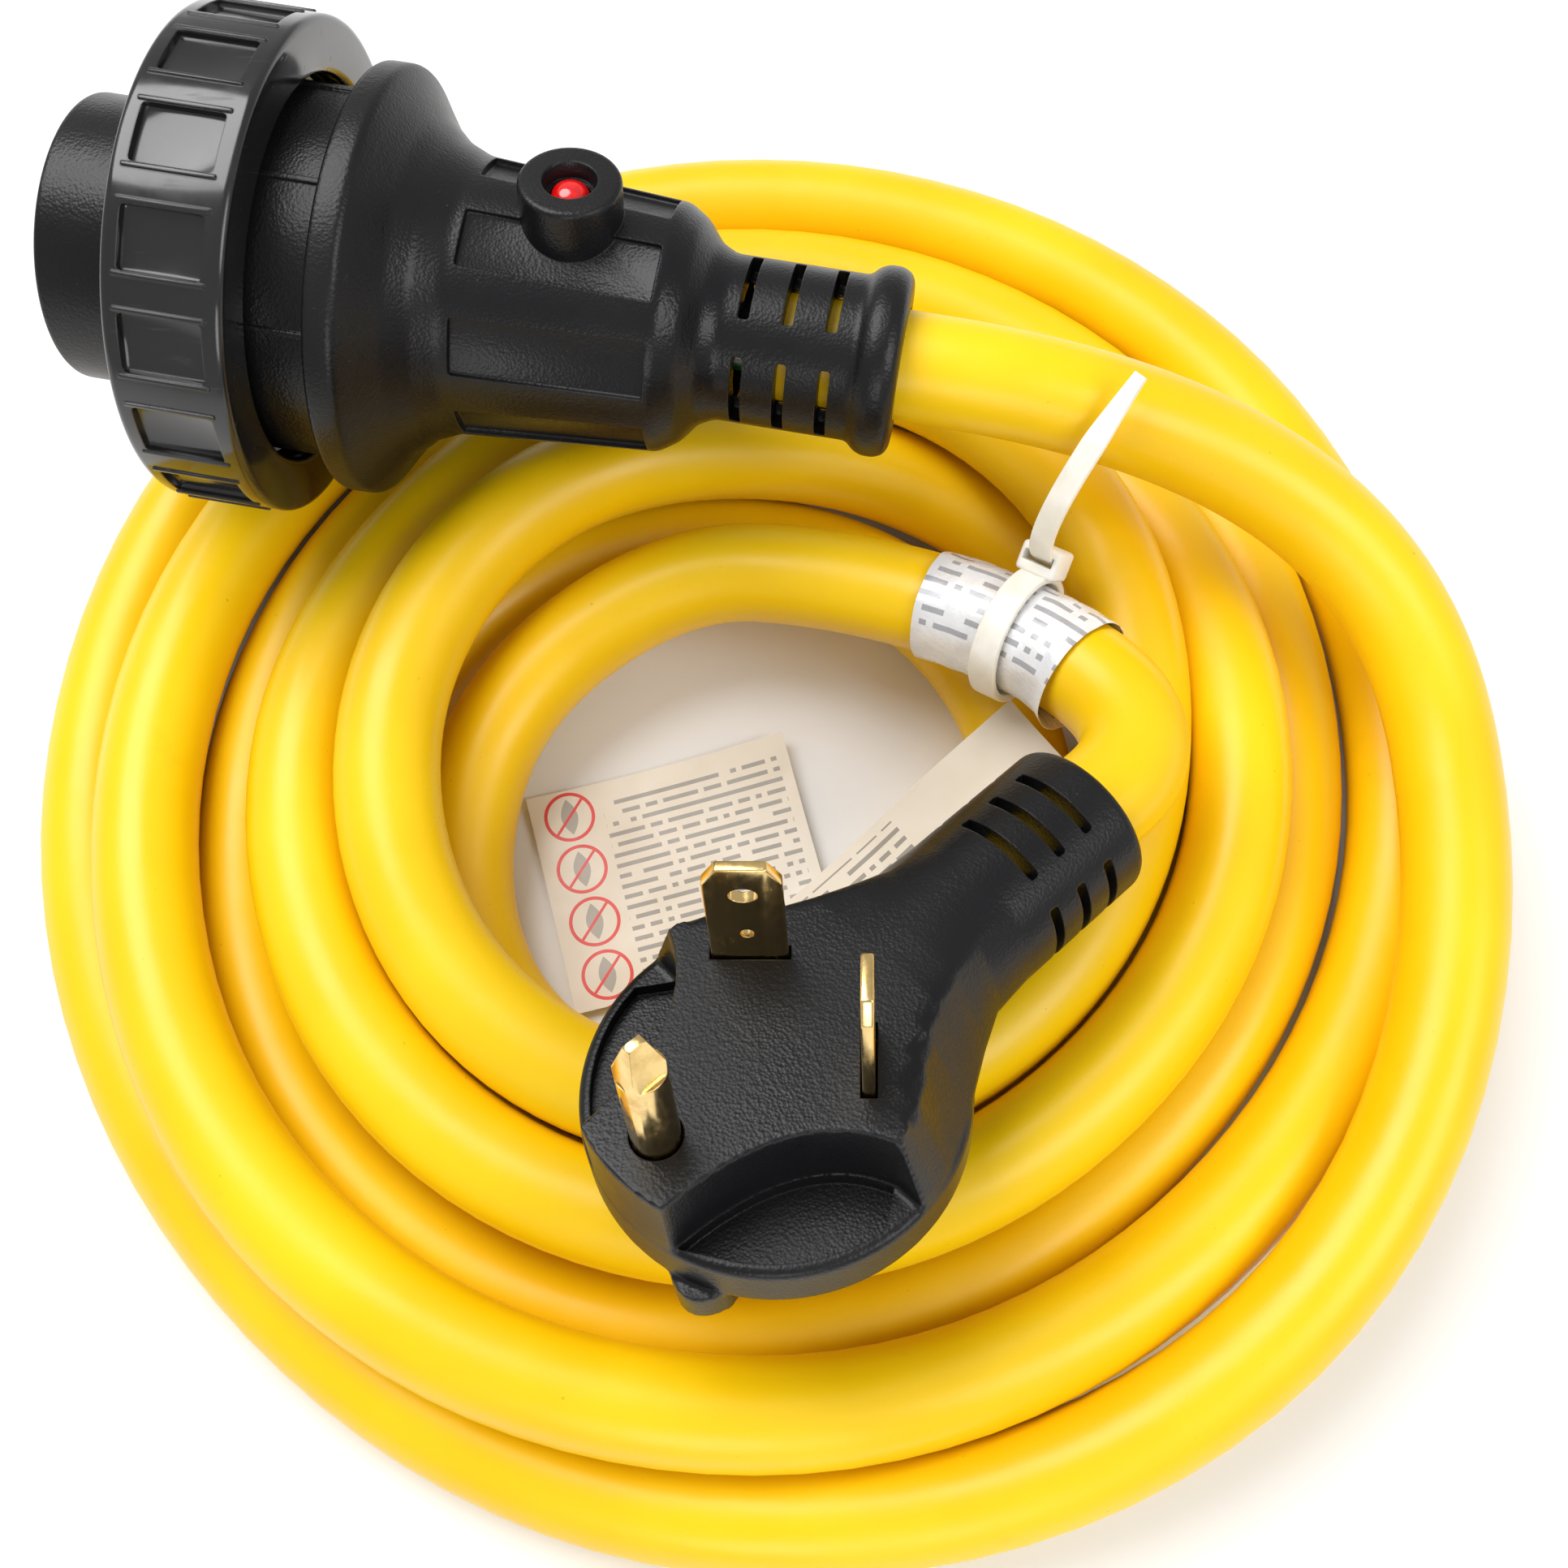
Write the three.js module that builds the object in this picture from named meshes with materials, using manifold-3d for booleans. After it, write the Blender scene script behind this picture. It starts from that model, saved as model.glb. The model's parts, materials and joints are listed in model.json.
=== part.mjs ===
// A shore power cord: a coiled three-conductor cord with an angled blade plug on one end and a twist-lock
// socket connector with a captive threaded coupling ring on the other.
// Units are millimetres and +Z is up. Every place is given from the axis of the coil, on the floor it lies on,
// and the whole is moved at the end so that the origin is under the middle of the object.
import * as THREE from 'three';
import { ConvexGeometry } from 'three/addons/geometries/ConvexGeometry.js';
import { mergeVertices } from 'three/addons/utils/BufferGeometryUtils.js';
import Module from 'manifold-3d';

const wasm = await Module();
wasm.setup();

// ---------------------------------------------------------------- driving dimensions

const GAP = 0.3;
const V3 = THREE.Vector3;
const V2 = THREE.Vector2;

// Cord make-up.
const CORD_R = 8.25;
const CORD_FACETS = 8;
const JACKET_BORE_R = 6.95;
const BORE_FACETS = 6;
const WIRE_R = 2.6;
const WIRE_FACETS = 4;
const WIRE_OFFSET = 3.15;
const WIRES = [
  { name: 'hot', colour: '#1a1a1c', turn: 110 },
  { name: 'neutral', colour: '#e8e6df', turn: 230 },
  { name: 'ground', colour: '#1f7a3c', turn: 350 },
];

// The coil, clockwise from above: one row a turn, one [radius, height] pair every 45 degrees from +X.
const STEP_DEG = 45;
const FACETS_PER_STEP = 2;
const TURNS = [
  [[109, 30], [117, 21], [114, 11], [110, 8.5], [113, 8.5], [117.5, 8.5], [118.5, 8.5], [116, 8.5]],
  [[108.5, 8.5], [101, 14.5], [99.5, 22], [100.5, 24], [99.5, 20.5], [101, 13], [101.5, 10.5], [98.5, 8.5]],
  [[90.5, 8.5], [85, 8.5], [88, 8.5], [90.5, 8.5], [86.5, 8.5], [84, 8.5], [84, 9.5], [83, 16]],
  [[78.5, 22], [74, 25], [74, 26], [75, 26], [73.5, 25], [72, 20.5], [74.5, 27], [70, 29.5]],
  [[61.5, 24], [57, 24], [56.5, 26.5], [58.5, 30], [58, 33], [57, 32], [57.5, 23], [63.5, 12]],
  [[67.5, 8.5], [67.5, 8.5], [70.5, 8.5], [73.5, 8.5], [67, 8.5], [56.5, 8.5], [47, 8.5], [44.5, 8.5]],
  [[45.5, 8.5], [49, 8.5], [53.5, 8.5], [56, 9], [47.5, 13.5], [38.5, 18], [34, 24]],
];
const LEAD_IN_FACETS = 6;
const LEAD_OUT_FACETS = 10;

// The ball-and-cup seams where the cord flexes, one behind each boot.
const BALL_R = 7.8;
const CUP_R = 8.6;
const SEAM_OFFSET = 6;

// The socket connector, measured along its axis from the socket's front.
const CONNECTOR_EXIT = [22, 51, 61];
const CONNECTOR_AZIMUTH = -10.4;
const CONNECTOR_ROLL = 14;
const CONNECTOR_LENGTH = 126;
const BARREL_R = 21.4;
const BODY_R = 27.5;
const FLANGE_R = 32;
const NECK_R = 20.5;
const GRIP_END_R = 18.2;
const BOOT_R = 12.4;
const COLLAR_R = 14.2;

// The coupling ring, measured the same way.
const RING_R = 37;
const RING_X = 17.5;
const RING_WIDTH = 17.5;
const RING_PADS = 16;

// The plug, from the middle of its face: +X towards the cord, +Z out of the face along the blades.
const PLUG_CENTRE = [2.4, -53.3, 71];
const PLUG_AZIMUTH = 45;
const PLUG_NORMAL = [-0.05, 0.31, 0.95];
const DISC_R = 26.5;
const DISC_TOP = -13;
const DISC_BOTTOM = -22;
const PLUG_BOOT_R = 12.2;
const PLUG_BOOT_Z = -12.4;
const PLUG_BOOT_START = 37;
const PLUG_BOOT_END = 61;
const BLADE_LENGTH = 20.5;
const BLADE_WIDTH = 10.2;
const BLADE_THICKNESS = 1.6;
const BLADE_PLACES = { hot: [6.8, -11.1], neutral: [6.8, 11.1] };
const PIN_X = -19.2;
const PIN_R = 3.2;
const TERMINAL_Z = -16.6;

const BLACK = '#161618';
const YELLOW = '#f5c400';
const BRASS = '#c9a24a';
const WHITE = '#efeee8';

// ---------------------------------------------------------------- solids

function signedVolume(position, index) {
  let volume = 0;
  const a = new V3();
  const b = new V3();
  const c = new V3();
  for (let i = 0; i < index.length; i += 3) {
    a.fromBufferAttribute(position, index[i]);
    b.fromBufferAttribute(position, index[i + 1]);
    c.fromBufferAttribute(position, index[i + 2]);
    volume += a.dot(b.cross(c)) / 6;
  }
  return volume;
}

function toSolid(geometry) {
  const plain = geometry.clone();
  plain.deleteAttribute('normal');
  plain.deleteAttribute('uv');
  const welded = mergeVertices(plain, 1e-4);
  const position = welded.attributes.position;
  const triangles = [];
  for (let i = 0; i < welded.index.count; i += 3) {
    const [a, b, c] = [0, 1, 2].map((k) => welded.index.getX(i + k));
    if (a !== b && b !== c && c !== a) triangles.push(a, b, c);
  }
  if (signedVolume(position, triangles) < 0) triangles.reverse();
  const mesh = new wasm.Mesh({
    numProp: 3,
    vertProperties: Float32Array.from(position.array),
    triVerts: Uint32Array.from(triangles),
  });
  return new wasm.Manifold(mesh);
}

function toGeometry(solid) {
  const mesh = solid.getMesh();
  const geometry = new THREE.BufferGeometry();
  geometry.setAttribute('position', new THREE.BufferAttribute(Float32Array.from(mesh.vertProperties), 3));
  geometry.setIndex(new THREE.BufferAttribute(Uint32Array.from(mesh.triVerts), 1));
  geometry.computeVertexNormals();
  return geometry;
}

const root = new THREE.Group();

function addPart(name, solid, colour, frame = new THREE.Matrix4()) {
  const geometry = toGeometry(solid).applyMatrix4(frame);
  const material = new THREE.MeshStandardMaterial({ color: colour });
  const mesh = new THREE.Mesh(geometry, material);
  mesh.name = name;
  root.add(mesh);
}

// A solid of revolution about the X axis from [x, radius] pairs.
function revolve(profile, segments = 32) {
  const points = profile.map(([x, r]) => new V2(r, x));
  const geometry = new THREE.LatheGeometry(points, segments);
  return toSolid(geometry.rotateZ(-Math.PI / 2));
}

// A ring or tube about the X axis between two radii.
function tube(x0, x1, inner, outer, segments = 32) {
  return revolve([[x0, inner], [x0, outer], [x1, outer], [x1, inner], [x0, inner]], segments);
}

function rod(x0, x1, radius, segments = 24) {
  return revolve([[x0, 0], [x0, radius], [x1, radius], [x1, 0]], segments);
}

function box(x0, x1, y0, y1, z0, z1) {
  const geometry = new THREE.BoxGeometry(x1 - x0, y1 - y0, z1 - z0);
  return toSolid(geometry.translate((x0 + x1) / 2, (y0 + y1) / 2, (z0 + z1) / 2));
}

// A flat outline in X and Y raised from z0 to z1.
function raise(shape, z0, z1, curveSegments = 10) {
  const geometry = new THREE.ExtrudeGeometry(shape, { depth: z1 - z0, bevelEnabled: false, curveSegments });
  return toSolid(geometry.translate(0, 0, z0));
}

function turned(solid, matrix) {
  return toSolid(toGeometry(solid).applyMatrix4(matrix));
}

const aboutX = (degrees) => new THREE.Matrix4().makeRotationX(THREE.MathUtils.degToRad(degrees));
const aboutY = (degrees) => new THREE.Matrix4().makeRotationY(THREE.MathUtils.degToRad(degrees));
const aboutZ = (degrees) => new THREE.Matrix4().makeRotationZ(THREE.MathUtils.degToRad(degrees));
const moved = (x, y, z) => new THREE.Matrix4().makeTranslation(x, y, z);

// ---------------------------------------------------------------- frames

function connectorFrame() {
  const azimuth = THREE.MathUtils.degToRad(CONNECTOR_AZIMUTH);
  const along = new V3(Math.cos(azimuth), Math.sin(azimuth), 0);
  const front = new V3(...CONNECTOR_EXIT).addScaledVector(along, -CONNECTOR_LENGTH);
  return moved(...front.toArray()).multiply(aboutZ(CONNECTOR_AZIMUTH)).multiply(aboutX(-CONNECTOR_ROLL));
}

function plugFrame() {
  const normal = new V3(...PLUG_NORMAL).normalize();
  const azimuth = THREE.MathUtils.degToRad(PLUG_AZIMUTH);
  const heading = new V3(Math.cos(azimuth), Math.sin(azimuth), 0);
  const along = heading.addScaledVector(normal, -heading.dot(normal)).normalize();
  const across = normal.clone().cross(along);
  const frame = new THREE.Matrix4().makeBasis(along, across, normal);
  return frame.setPosition(...PLUG_CENTRE);
}

const CONNECTOR = connectorFrame();
const PLUG = plugFrame();

// Each seam has a centre and a unit direction that points from the cord into its boot.
function seamAt(frame, point, inward) {
  const centre = new V3(...point).applyMatrix4(frame);
  const direction = new V3(...inward).transformDirection(frame);
  return { centre, direction };
}

const CONNECTOR_SEAM = seamAt(CONNECTOR, [CONNECTOR_LENGTH + SEAM_OFFSET, 0, 0], [-1, 0, 0]);
const PLUG_SEAM = seamAt(PLUG, [PLUG_BOOT_END + SEAM_OFFSET, 0, PLUG_BOOT_Z], [-1, 0, 0]);

// ---------------------------------------------------------------- the coiled cord

// The turns of the coil, joined smoothly through their stations.
class CoilCurve extends THREE.Curve {
  constructor(stations) {
    super();
    const points = stations.map(([radius, height], step) => new V3(step, radius, height));
    this.polar = new THREE.CatmullRomCurve3(points, false, 'catmullrom', 0.5);
  }

  getPoint(t, target = new V3()) {
    const { x: step, y: radius, z: height } = this.polar.getPoint(t);
    const angle = THREE.MathUtils.degToRad(-STEP_DEG * step);
    return target.set(radius * Math.cos(angle), radius * Math.sin(angle), height);
  }
}

// Several curves end to end, each with its own number of facets.
class JoinedCurve extends THREE.Curve {
  constructor(pieces) {
    super();
    this.pieces = pieces;
    this.facets = pieces.reduce((sum, piece) => sum + piece.facets, 0);
  }

  getUtoTmapping(u) {
    return u;
  }

  getPoint(t, target = new V3()) {
    let along = t * this.facets;
    const last = this.pieces[this.pieces.length - 1];
    for (const piece of this.pieces) {
      if (along <= piece.facets || piece === last) {
        return piece.curve.getPoint(Math.min(along / piece.facets, 1), target);
      }
      along -= piece.facets;
    }
    return target;
  }
}

// A bend that leaves one point and arrives at another in set directions; the reaches say how gently.
function bendBetween(start, startDirection, startReach, end, endDirection, endReach) {
  const span = start.distanceTo(end);
  const first = start.clone().addScaledVector(startDirection, span * startReach);
  const second = end.clone().addScaledVector(endDirection, -span * endReach);
  return new THREE.CubicBezierCurve3(start, first, second, end);
}

function cordCurve() {
  const stations = TURNS.flat();
  const coil = new CoilCurve(stations);
  const coilFacets = (stations.length - 1) * FACETS_PER_STEP;
  const stub = BALL_R + 1;
  const from = CONNECTOR_SEAM.centre;
  const away = CONNECTOR_SEAM.direction.clone().negate();
  const to = PLUG_SEAM.centre;
  const leadIn = bendBetween(from, away, 0.38, coil.getPoint(0), coil.getTangent(0), 0.42);
  const leadOut = bendBetween(coil.getPoint(1), coil.getTangent(1), 0.44, to, PLUG_SEAM.direction, 0.36);
  const startStub = new THREE.LineCurve3(from.clone().addScaledVector(away, -stub), from);
  const endStub = new THREE.LineCurve3(to, to.clone().addScaledVector(PLUG_SEAM.direction, stub));
  return new JoinedCurve([
    { curve: startStub, facets: 1 },
    { curve: leadIn, facets: LEAD_IN_FACETS },
    { curve: coil, facets: coilFacets },
    { curve: leadOut, facets: LEAD_OUT_FACETS },
    { curve: endStub, facets: 1 },
  ]);
}

const CORD = cordCurve();
const CORD_FRAMES = CORD.computeFrenetFrames(CORD.facets, false);

function polygonShape(radius, facets, x = 0, y = 0) {
  const points = [];
  for (let i = 0; i < facets; i += 1) {
    const angle = (2 * Math.PI * (i + 0.5)) / facets;
    points.push(new V2(x + radius * Math.cos(angle), y + radius * Math.sin(angle)));
  }
  return new THREE.Shape(points);
}

function sweep(shape, curve, steps) {
  const geometry = new THREE.ExtrudeGeometry(shape, { steps, bevelEnabled: false, extrudePath: curve });
  return toSolid(geometry);
}

function jacketShape() {
  const shape = polygonShape(CORD_R, CORD_FACETS);
  shape.holes.push(polygonShape(JACKET_BORE_R, BORE_FACETS));
  return shape;
}

function wirePlace(turn) {
  const angle = THREE.MathUtils.degToRad(turn);
  return [WIRE_OFFSET * Math.cos(angle), WIRE_OFFSET * Math.sin(angle)];
}

// A frame with +X along a seam's inward direction, centred on the seam.
function seamFrame(seam) {
  const turn = new THREE.Quaternion().setFromUnitVectors(new V3(1, 0, 0), seam.direction);
  return new THREE.Matrix4().makeRotationFromQuaternion(turn).setPosition(seam.centre);
}

// What is cut from the coil beyond a seam, to leave a ball end.
function ballCutter(seam) {
  const sleeve = rod(0, BALL_R + 3, CORD_R + 0.6, 16);
  const ball = toSolid(new THREE.SphereGeometry(BALL_R, 16, 10));
  return turned(sleeve.subtract(ball), seamFrame(seam));
}

function addCoil() {
  const cutters = [CONNECTOR_SEAM, PLUG_SEAM].map(ballCutter);
  const trim = (solid) => cutters.reduce((left, cutter) => left.subtract(cutter), solid);
  addPart('cord_jacket', trim(sweep(jacketShape(), CORD, CORD.facets)), YELLOW);
  for (const wire of WIRES) {
    const shape = polygonShape(WIRE_R, WIRE_FACETS, ...wirePlace(wire.turn));
    addPart(`cord_wire_${wire.name}`, trim(sweep(shape, CORD, CORD.facets)), wire.colour);
  }
}

// Where each conductor crosses a seam, in the frame of the end it runs into.
function wireAtSeam(seam, frame, stationIndex, turn) {
  const [x, y] = wirePlace(turn);
  const point = seam.centre.clone();
  point.addScaledVector(CORD_FRAMES.normals[stationIndex], x);
  point.addScaledVector(CORD_FRAMES.binormals[stationIndex], y);
  return point.applyMatrix4(frame.clone().invert());
}

// ---------------------------------------------------------------- socket connector

const SLOT_CIRCLE_R = 11.6;
const SLOT_HALF_WIDTH = 1.5;
const TERMINAL_STRAIGHT = 6.5;
const CONTACT_TURNS = { hot: 34, neutral: 154, ground: 274 };

function addConnectorHousing() {
  const outside = [
    [0, 18.9], [0, BARREL_R - 0.6], [0.6, BARREL_R], [24, BARREL_R], [24, 30], [27, 30],
    [27, BODY_R], [44, BODY_R], [44, FLANGE_R - 0.5], [44.5, FLANGE_R], [48, FLANGE_R],
    [49, FLANGE_R - 1], [52, 26.5], [55.5, 22.6], [59.5, NECK_R], [91, GRIP_END_R],
    [94, 16.5], [97, 13.2], [99, BOOT_R], [119.5, BOOT_R], [120.5, COLLAR_R - 0.6],
    [121.5, COLLAR_R], [124.5, COLLAR_R], [CONNECTOR_LENGTH, COLLAR_R - 1.5],
    [CONNECTOR_LENGTH, CORD_R + 0.6],
  ];
  const inside = [[54, CORD_R + 0.6], [46, 18.9], [0, 18.9]];
  let housing = revolve([...outside, ...inside], 32);
  const bossTop = 25;
  const boss = turned(rod(12, bossTop, 7.5, 24), moved(76, 0, 0).multiply(aboutY(-90)));
  const recess = turned(rod(22.4, bossTop + 1, 3.6, 16), moved(76, 0, 0).multiply(aboutY(-90)));
  const lampHole = turned(rod(11, 23, 3.05, 16), moved(76, 0, 0).multiply(aboutY(-90)));
  const panels = [];
  for (let i = 0; i < 8; i += 1) {
    const panel = box(62, 90, -3.9, 3.9, 17.4, 24);
    const lean = moved(62, 0, 20).multiply(aboutY(4)).multiply(moved(-62, 0, -20 + 1.4));
    panels.push(turned(panel, aboutX(22.5 + 45 * i).multiply(lean)));
  }
  for (const panel of panels) housing = housing.subtract(panel);
  housing = housing.add(boss).subtract(recess).subtract(lampHole);
  for (const x of [102.5, 109, 115.5]) {
    for (let quarter = 0; quarter < 4; quarter += 1) {
      const slot = box(x - 0.8, x + 0.8, -6.5, 6.5, 7.2, 14);
      housing = housing.subtract(turned(slot, aboutX(90 * quarter)));
    }
  }
  addPart('connector_housing', housing, BLACK, CONNECTOR);
}

// An arc of a ring in the Y-Z plane, raised along X.
function arcPlate(x0, x1, inner, outer, middle, halfSpan) {
  const start = THREE.MathUtils.degToRad(middle - halfSpan);
  const end = THREE.MathUtils.degToRad(middle + halfSpan);
  const shape = new THREE.Shape();
  shape.absarc(0, 0, outer, start, end, false);
  shape.absarc(0, 0, inner, end, start, true);
  const plate = raise(shape, x0, x1, 6);
  // Raised along +Z, so turn +Z to +X, +X to +Y and +Y to +Z.
  const turn = new THREE.Matrix4().makeBasis(new V3(0, 1, 0), new V3(0, 0, 1), new V3(1, 0, 0));
  return turned(plate, turn);
}

function addSocketInsert() {
  const radius = 18.6;
  let insert = rod(1, 20, radius, 40);
  for (const turn of Object.values(CONTACT_TURNS)) {
    const slot = arcPlate(
      0, 21, SLOT_CIRCLE_R - SLOT_HALF_WIDTH, SLOT_CIRCLE_R + SLOT_HALF_WIDTH, turn, 24);
    insert = insert.subtract(slot);
  }
  addPart('socket_insert', insert, '#242427', CONNECTOR);
}

function addSocketContacts() {
  for (const [name, turn] of Object.entries(CONTACT_TURNS)) {
    const outer = SLOT_CIRCLE_R + SLOT_HALF_WIDTH - GAP;
    const strip = arcPlate(6, 21, outer - 0.9, outer, turn, 20);
    const foot = arcPlate(20.4, 22, 8.6, 15, turn, 22);
    const place = aboutX(turn - 90).multiply(moved(0, 0, SLOT_CIRCLE_R));
    const cup = turned(rod(21, 29, 3.7, 14), place);
    const bore = turned(rod(23, 30, 3, 12), place);
    addPart(`socket_contact_${name}`, strip.add(foot).add(cup).subtract(bore), BRASS, CONNECTOR);
  }
}

function addIndicator() {
  const upright = moved(76, 0, 0).multiply(aboutY(-90));
  const lens = [[20.2, 0], [20.2, 2.75], [22.6, 2.75], [23.6, 2], [24, 0.9], [24.1, 0]];
  addPart('indicator_lens', turned(revolve(lens, 16), upright), '#c81414', CONNECTOR);
  addPart('indicator_lamp', turned(rod(12.2, 19.9, 2.5, 12), upright), '#d8d4c8', CONNECTOR);
}

function addCouplingRing() {
  const x0 = RING_X;
  const x1 = RING_X + RING_WIDTH;
  const thread = [];
  for (let i = 0; i < 3; i += 1) {
    const x = x0 + 9.6 - 3 * i;
    thread.push([x, 33.4], [x - 0.8, 32.2], [x - 1.6, 33.4]);
  }
  const profile = [
    [x0, 33.4], [x0, RING_R - 1], [x0 + 1, RING_R], [x1 - 1.2, RING_R], [x1, RING_R - 1.2],
    [x1, 28.8], [x1 - 3.6, 28.8], [x1 - 3.6, 33.4], ...thread, [x0, 33.4],
  ];
  let ring = revolve(profile, 40);
  for (let i = 0; i < RING_PADS; i += 1) {
    const pocket = box(x0 + 2.6, x1 - 3, -4.2, 4.2, RING_R - 1.3, RING_R + 2);
    ring = ring.subtract(turned(pocket, aboutX((360 / RING_PADS) * i)));
  }
  addPart('coupling_ring', ring, '#0c0c0e', CONNECTOR);
}

// The rubber seal that sits in the ring and slides with it.
function addRingSeal() {
  const x = RING_X + RING_WIDTH - 3.6 - GAP;
  addPart('ring_seal', tube(x - 1.8, x, 28.6, 32.6, 36), '#2b2b2e', CONNECTOR);
}

// The straight length of jacket inside a boot, cut to a cup at the seam.
function bootJacket(start, seamX, z = 0) {
  const length = seamX - start;
  const shape = polygonShape(CORD_R, 12);
  shape.holes.push(polygonShape(JACKET_BORE_R, 8));
  const upright = raise(shape, 0, length);
  const laid = turned(upright, moved(start, 0, z).multiply(aboutY(90)));
  const cup = turned(toSolid(new THREE.SphereGeometry(CUP_R, 20, 12)), moved(seamX, 0, z));
  return laid.subtract(cup);
}

// A conductor that leaves its terminal straight, bends over and runs on to the seam.
function splayedWire(seamPoint, terminal, straightX) {
  const leave = new V3(terminal.x + TERMINAL_STRAIGHT, terminal.y, terminal.z);
  const arrive = new V3(straightX, seamPoint.y, seamPoint.z);
  const reach = (arrive.x - leave.x) * 0.45;
  const splay = new THREE.CubicBezierCurve3(
    leave,
    new V3(leave.x + reach, leave.y, leave.z),
    new V3(arrive.x - reach, arrive.y, arrive.z),
    arrive,
  );
  const curve = new JoinedCurve([
    { curve: new THREE.LineCurve3(terminal, leave), facets: 1 },
    { curve: splay, facets: 6 },
    { curve: new THREE.LineCurve3(arrive, seamPoint), facets: 1 },
  ]);
  return sweep(polygonShape(WIRE_R, 6), curve, curve.facets);
}

function addConnectorCord() {
  const seamX = CONNECTOR_LENGTH + SEAM_OFFSET;
  addPart('connector_end_jacket', bootJacket(56, seamX), YELLOW, CONNECTOR);
  const cup = turned(toSolid(new THREE.SphereGeometry(CUP_R, 20, 12)), moved(seamX, 0, 0));
  for (const wire of WIRES) {
    const point = wireAtSeam(CONNECTOR_SEAM, CONNECTOR, 1, wire.turn);
    const angle = THREE.MathUtils.degToRad(CONTACT_TURNS[wire.name]);
    const terminal = new V3(23.5, SLOT_CIRCLE_R * Math.cos(angle), SLOT_CIRCLE_R * Math.sin(angle));
    const solid = splayedWire(point, terminal, 55).subtract(cup);
    addPart(`connector_wire_${wire.name}`, solid, wire.colour, CONNECTOR);
  }
}

// ---------------------------------------------------------------- plug

// Half the width of the plug's face and of its base at stations along it, from the blades to the boot.
const PLUG_FLANKS = [
  [1.4, 21.7, DISC_R - 0.1],
  [7, 19.4, 25.4],
  [15, 13.3, 21.5],
  [24, 9.6, 17],
  [PLUG_BOOT_START, 8, PLUG_BOOT_R],
];

// The raised nose that carries the ground pin, with a finger scoop on either side.
function noseShape() {
  const arc = Math.atan2(7.8, 25.2);
  const shape = new THREE.Shape();
  shape.moveTo(4, -21.5);
  shape.lineTo(1.4, -21.7);
  shape.quadraticCurveTo(-3.7, -8.4, -25.2, -7.8);
  shape.absarc(0, 0, DISC_R - 0.12, -Math.PI + arc, Math.PI - arc, true);
  shape.quadraticCurveTo(-3.7, 8.4, 1.4, 21.7);
  shape.lineTo(4, 21.5);
  return shape;
}

function plugFlanks() {
  const points = [];
  for (const [x, face, base] of PLUG_FLANKS) {
    for (const side of [-1, 1]) {
      points.push(new V3(x, side * face, 0));
      points.push(new V3(x, side * base, DISC_TOP));
      points.push(new V3(x, side * (base - 1.5), DISC_BOTTOM + 0.2));
    }
  }
  return toSolid(new ConvexGeometry(points));
}

// The finger grip under the front of the plug.
function underGrip() {
  const shape = new THREE.Shape();
  shape.moveTo(-4, 14);
  shape.lineTo(-24, -4);
  shape.quadraticCurveTo(-30, -12, -22, -14);
  shape.lineTo(2, -10);
  return raise(shape, DISC_BOTTOM - 5, DISC_BOTTOM + 1, 6);
}

function plugCavity() {
  const rooms = [
    box(-23.3, 3, -4.9, 4.9, -20.4, -4.2),
    box(1.2, 12.6, -16.1, 16.1, -20.4, -4.2),
    box(12, 17, -15.3, 15.3, -20.4, -9),
    box(16, 22, -14.2, 14.2, -20.4, -9),
    box(21, 26, -12.8, 12.8, -20.4, -7),
    box(24, 29, -10.8, 10.8, -20.4, -5.5),
    box(28, 34, -9.6, 9.6, -20.4, -5.5),
  ];
  return rooms.reduce((whole, room) => whole.add(room));
}

function addPlugHousing() {
  const disc = [
    [DISC_BOTTOM, 0], [DISC_BOTTOM, DISC_R - 1.6], [DISC_BOTTOM + 1.4, DISC_R],
    [DISC_TOP - 0.4, DISC_R], [DISC_TOP, DISC_R - 0.4], [DISC_TOP, 0],
  ];
  const boot = [
    [30, 0], [30, 11.4], [PLUG_BOOT_START, PLUG_BOOT_R], [PLUG_BOOT_END - 1.2, PLUG_BOOT_R],
    [PLUG_BOOT_END, PLUG_BOOT_R - 1.2], [PLUG_BOOT_END, 0],
  ];
  const bootPlace = moved(0, 0, PLUG_BOOT_Z);
  let housing = turned(revolve(disc, 36), aboutY(-90));
  housing = housing.add(raise(noseShape(), DISC_TOP - 0.5, 0, 12)).add(plugFlanks()).add(underGrip());
  housing = housing.add(turned(revolve(boot, 32), bootPlace));
  housing = housing.subtract(turned(rod(32, PLUG_BOOT_END + 1, CORD_R + 0.6, 20), bootPlace));
  housing = housing.subtract(plugCavity());
  for (const x of [43, 48.5, 54]) {
    for (let quarter = 0; quarter < 4; quarter += 1) {
      const slot = box(x - 0.8, x + 0.8, -6.5, 6.5, 7.2, 14);
      housing = housing.subtract(turned(turned(slot, aboutX(90 * quarter)), bootPlace));
    }
  }
  for (const name of Object.keys(BLADE_PLACES)) {
    housing = housing.subtract(bladeSlot(name));
  }
  const pinHole = turned(rod(-6, 1, PIN_R + GAP, 20), moved(PIN_X, 0, 0).multiply(aboutY(-90)));
  addPart('plug_housing', housing.subtract(pinHole), BLACK, PLUG);
}

// A frame with +X along a blade's width and +Y through its thickness.
function bladeFrame(name) {
  const [x, y] = BLADE_PLACES[name];
  return moved(x, y, 0).multiply(aboutZ(y > 0 ? -45 : 45));
}

function bladeSlot(name) {
  const half = BLADE_WIDTH / 2 + GAP;
  const thick = BLADE_THICKNESS / 2 + GAP;
  return turned(box(-half, half, -thick, thick, -12, 1), bladeFrame(name));
}

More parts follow.
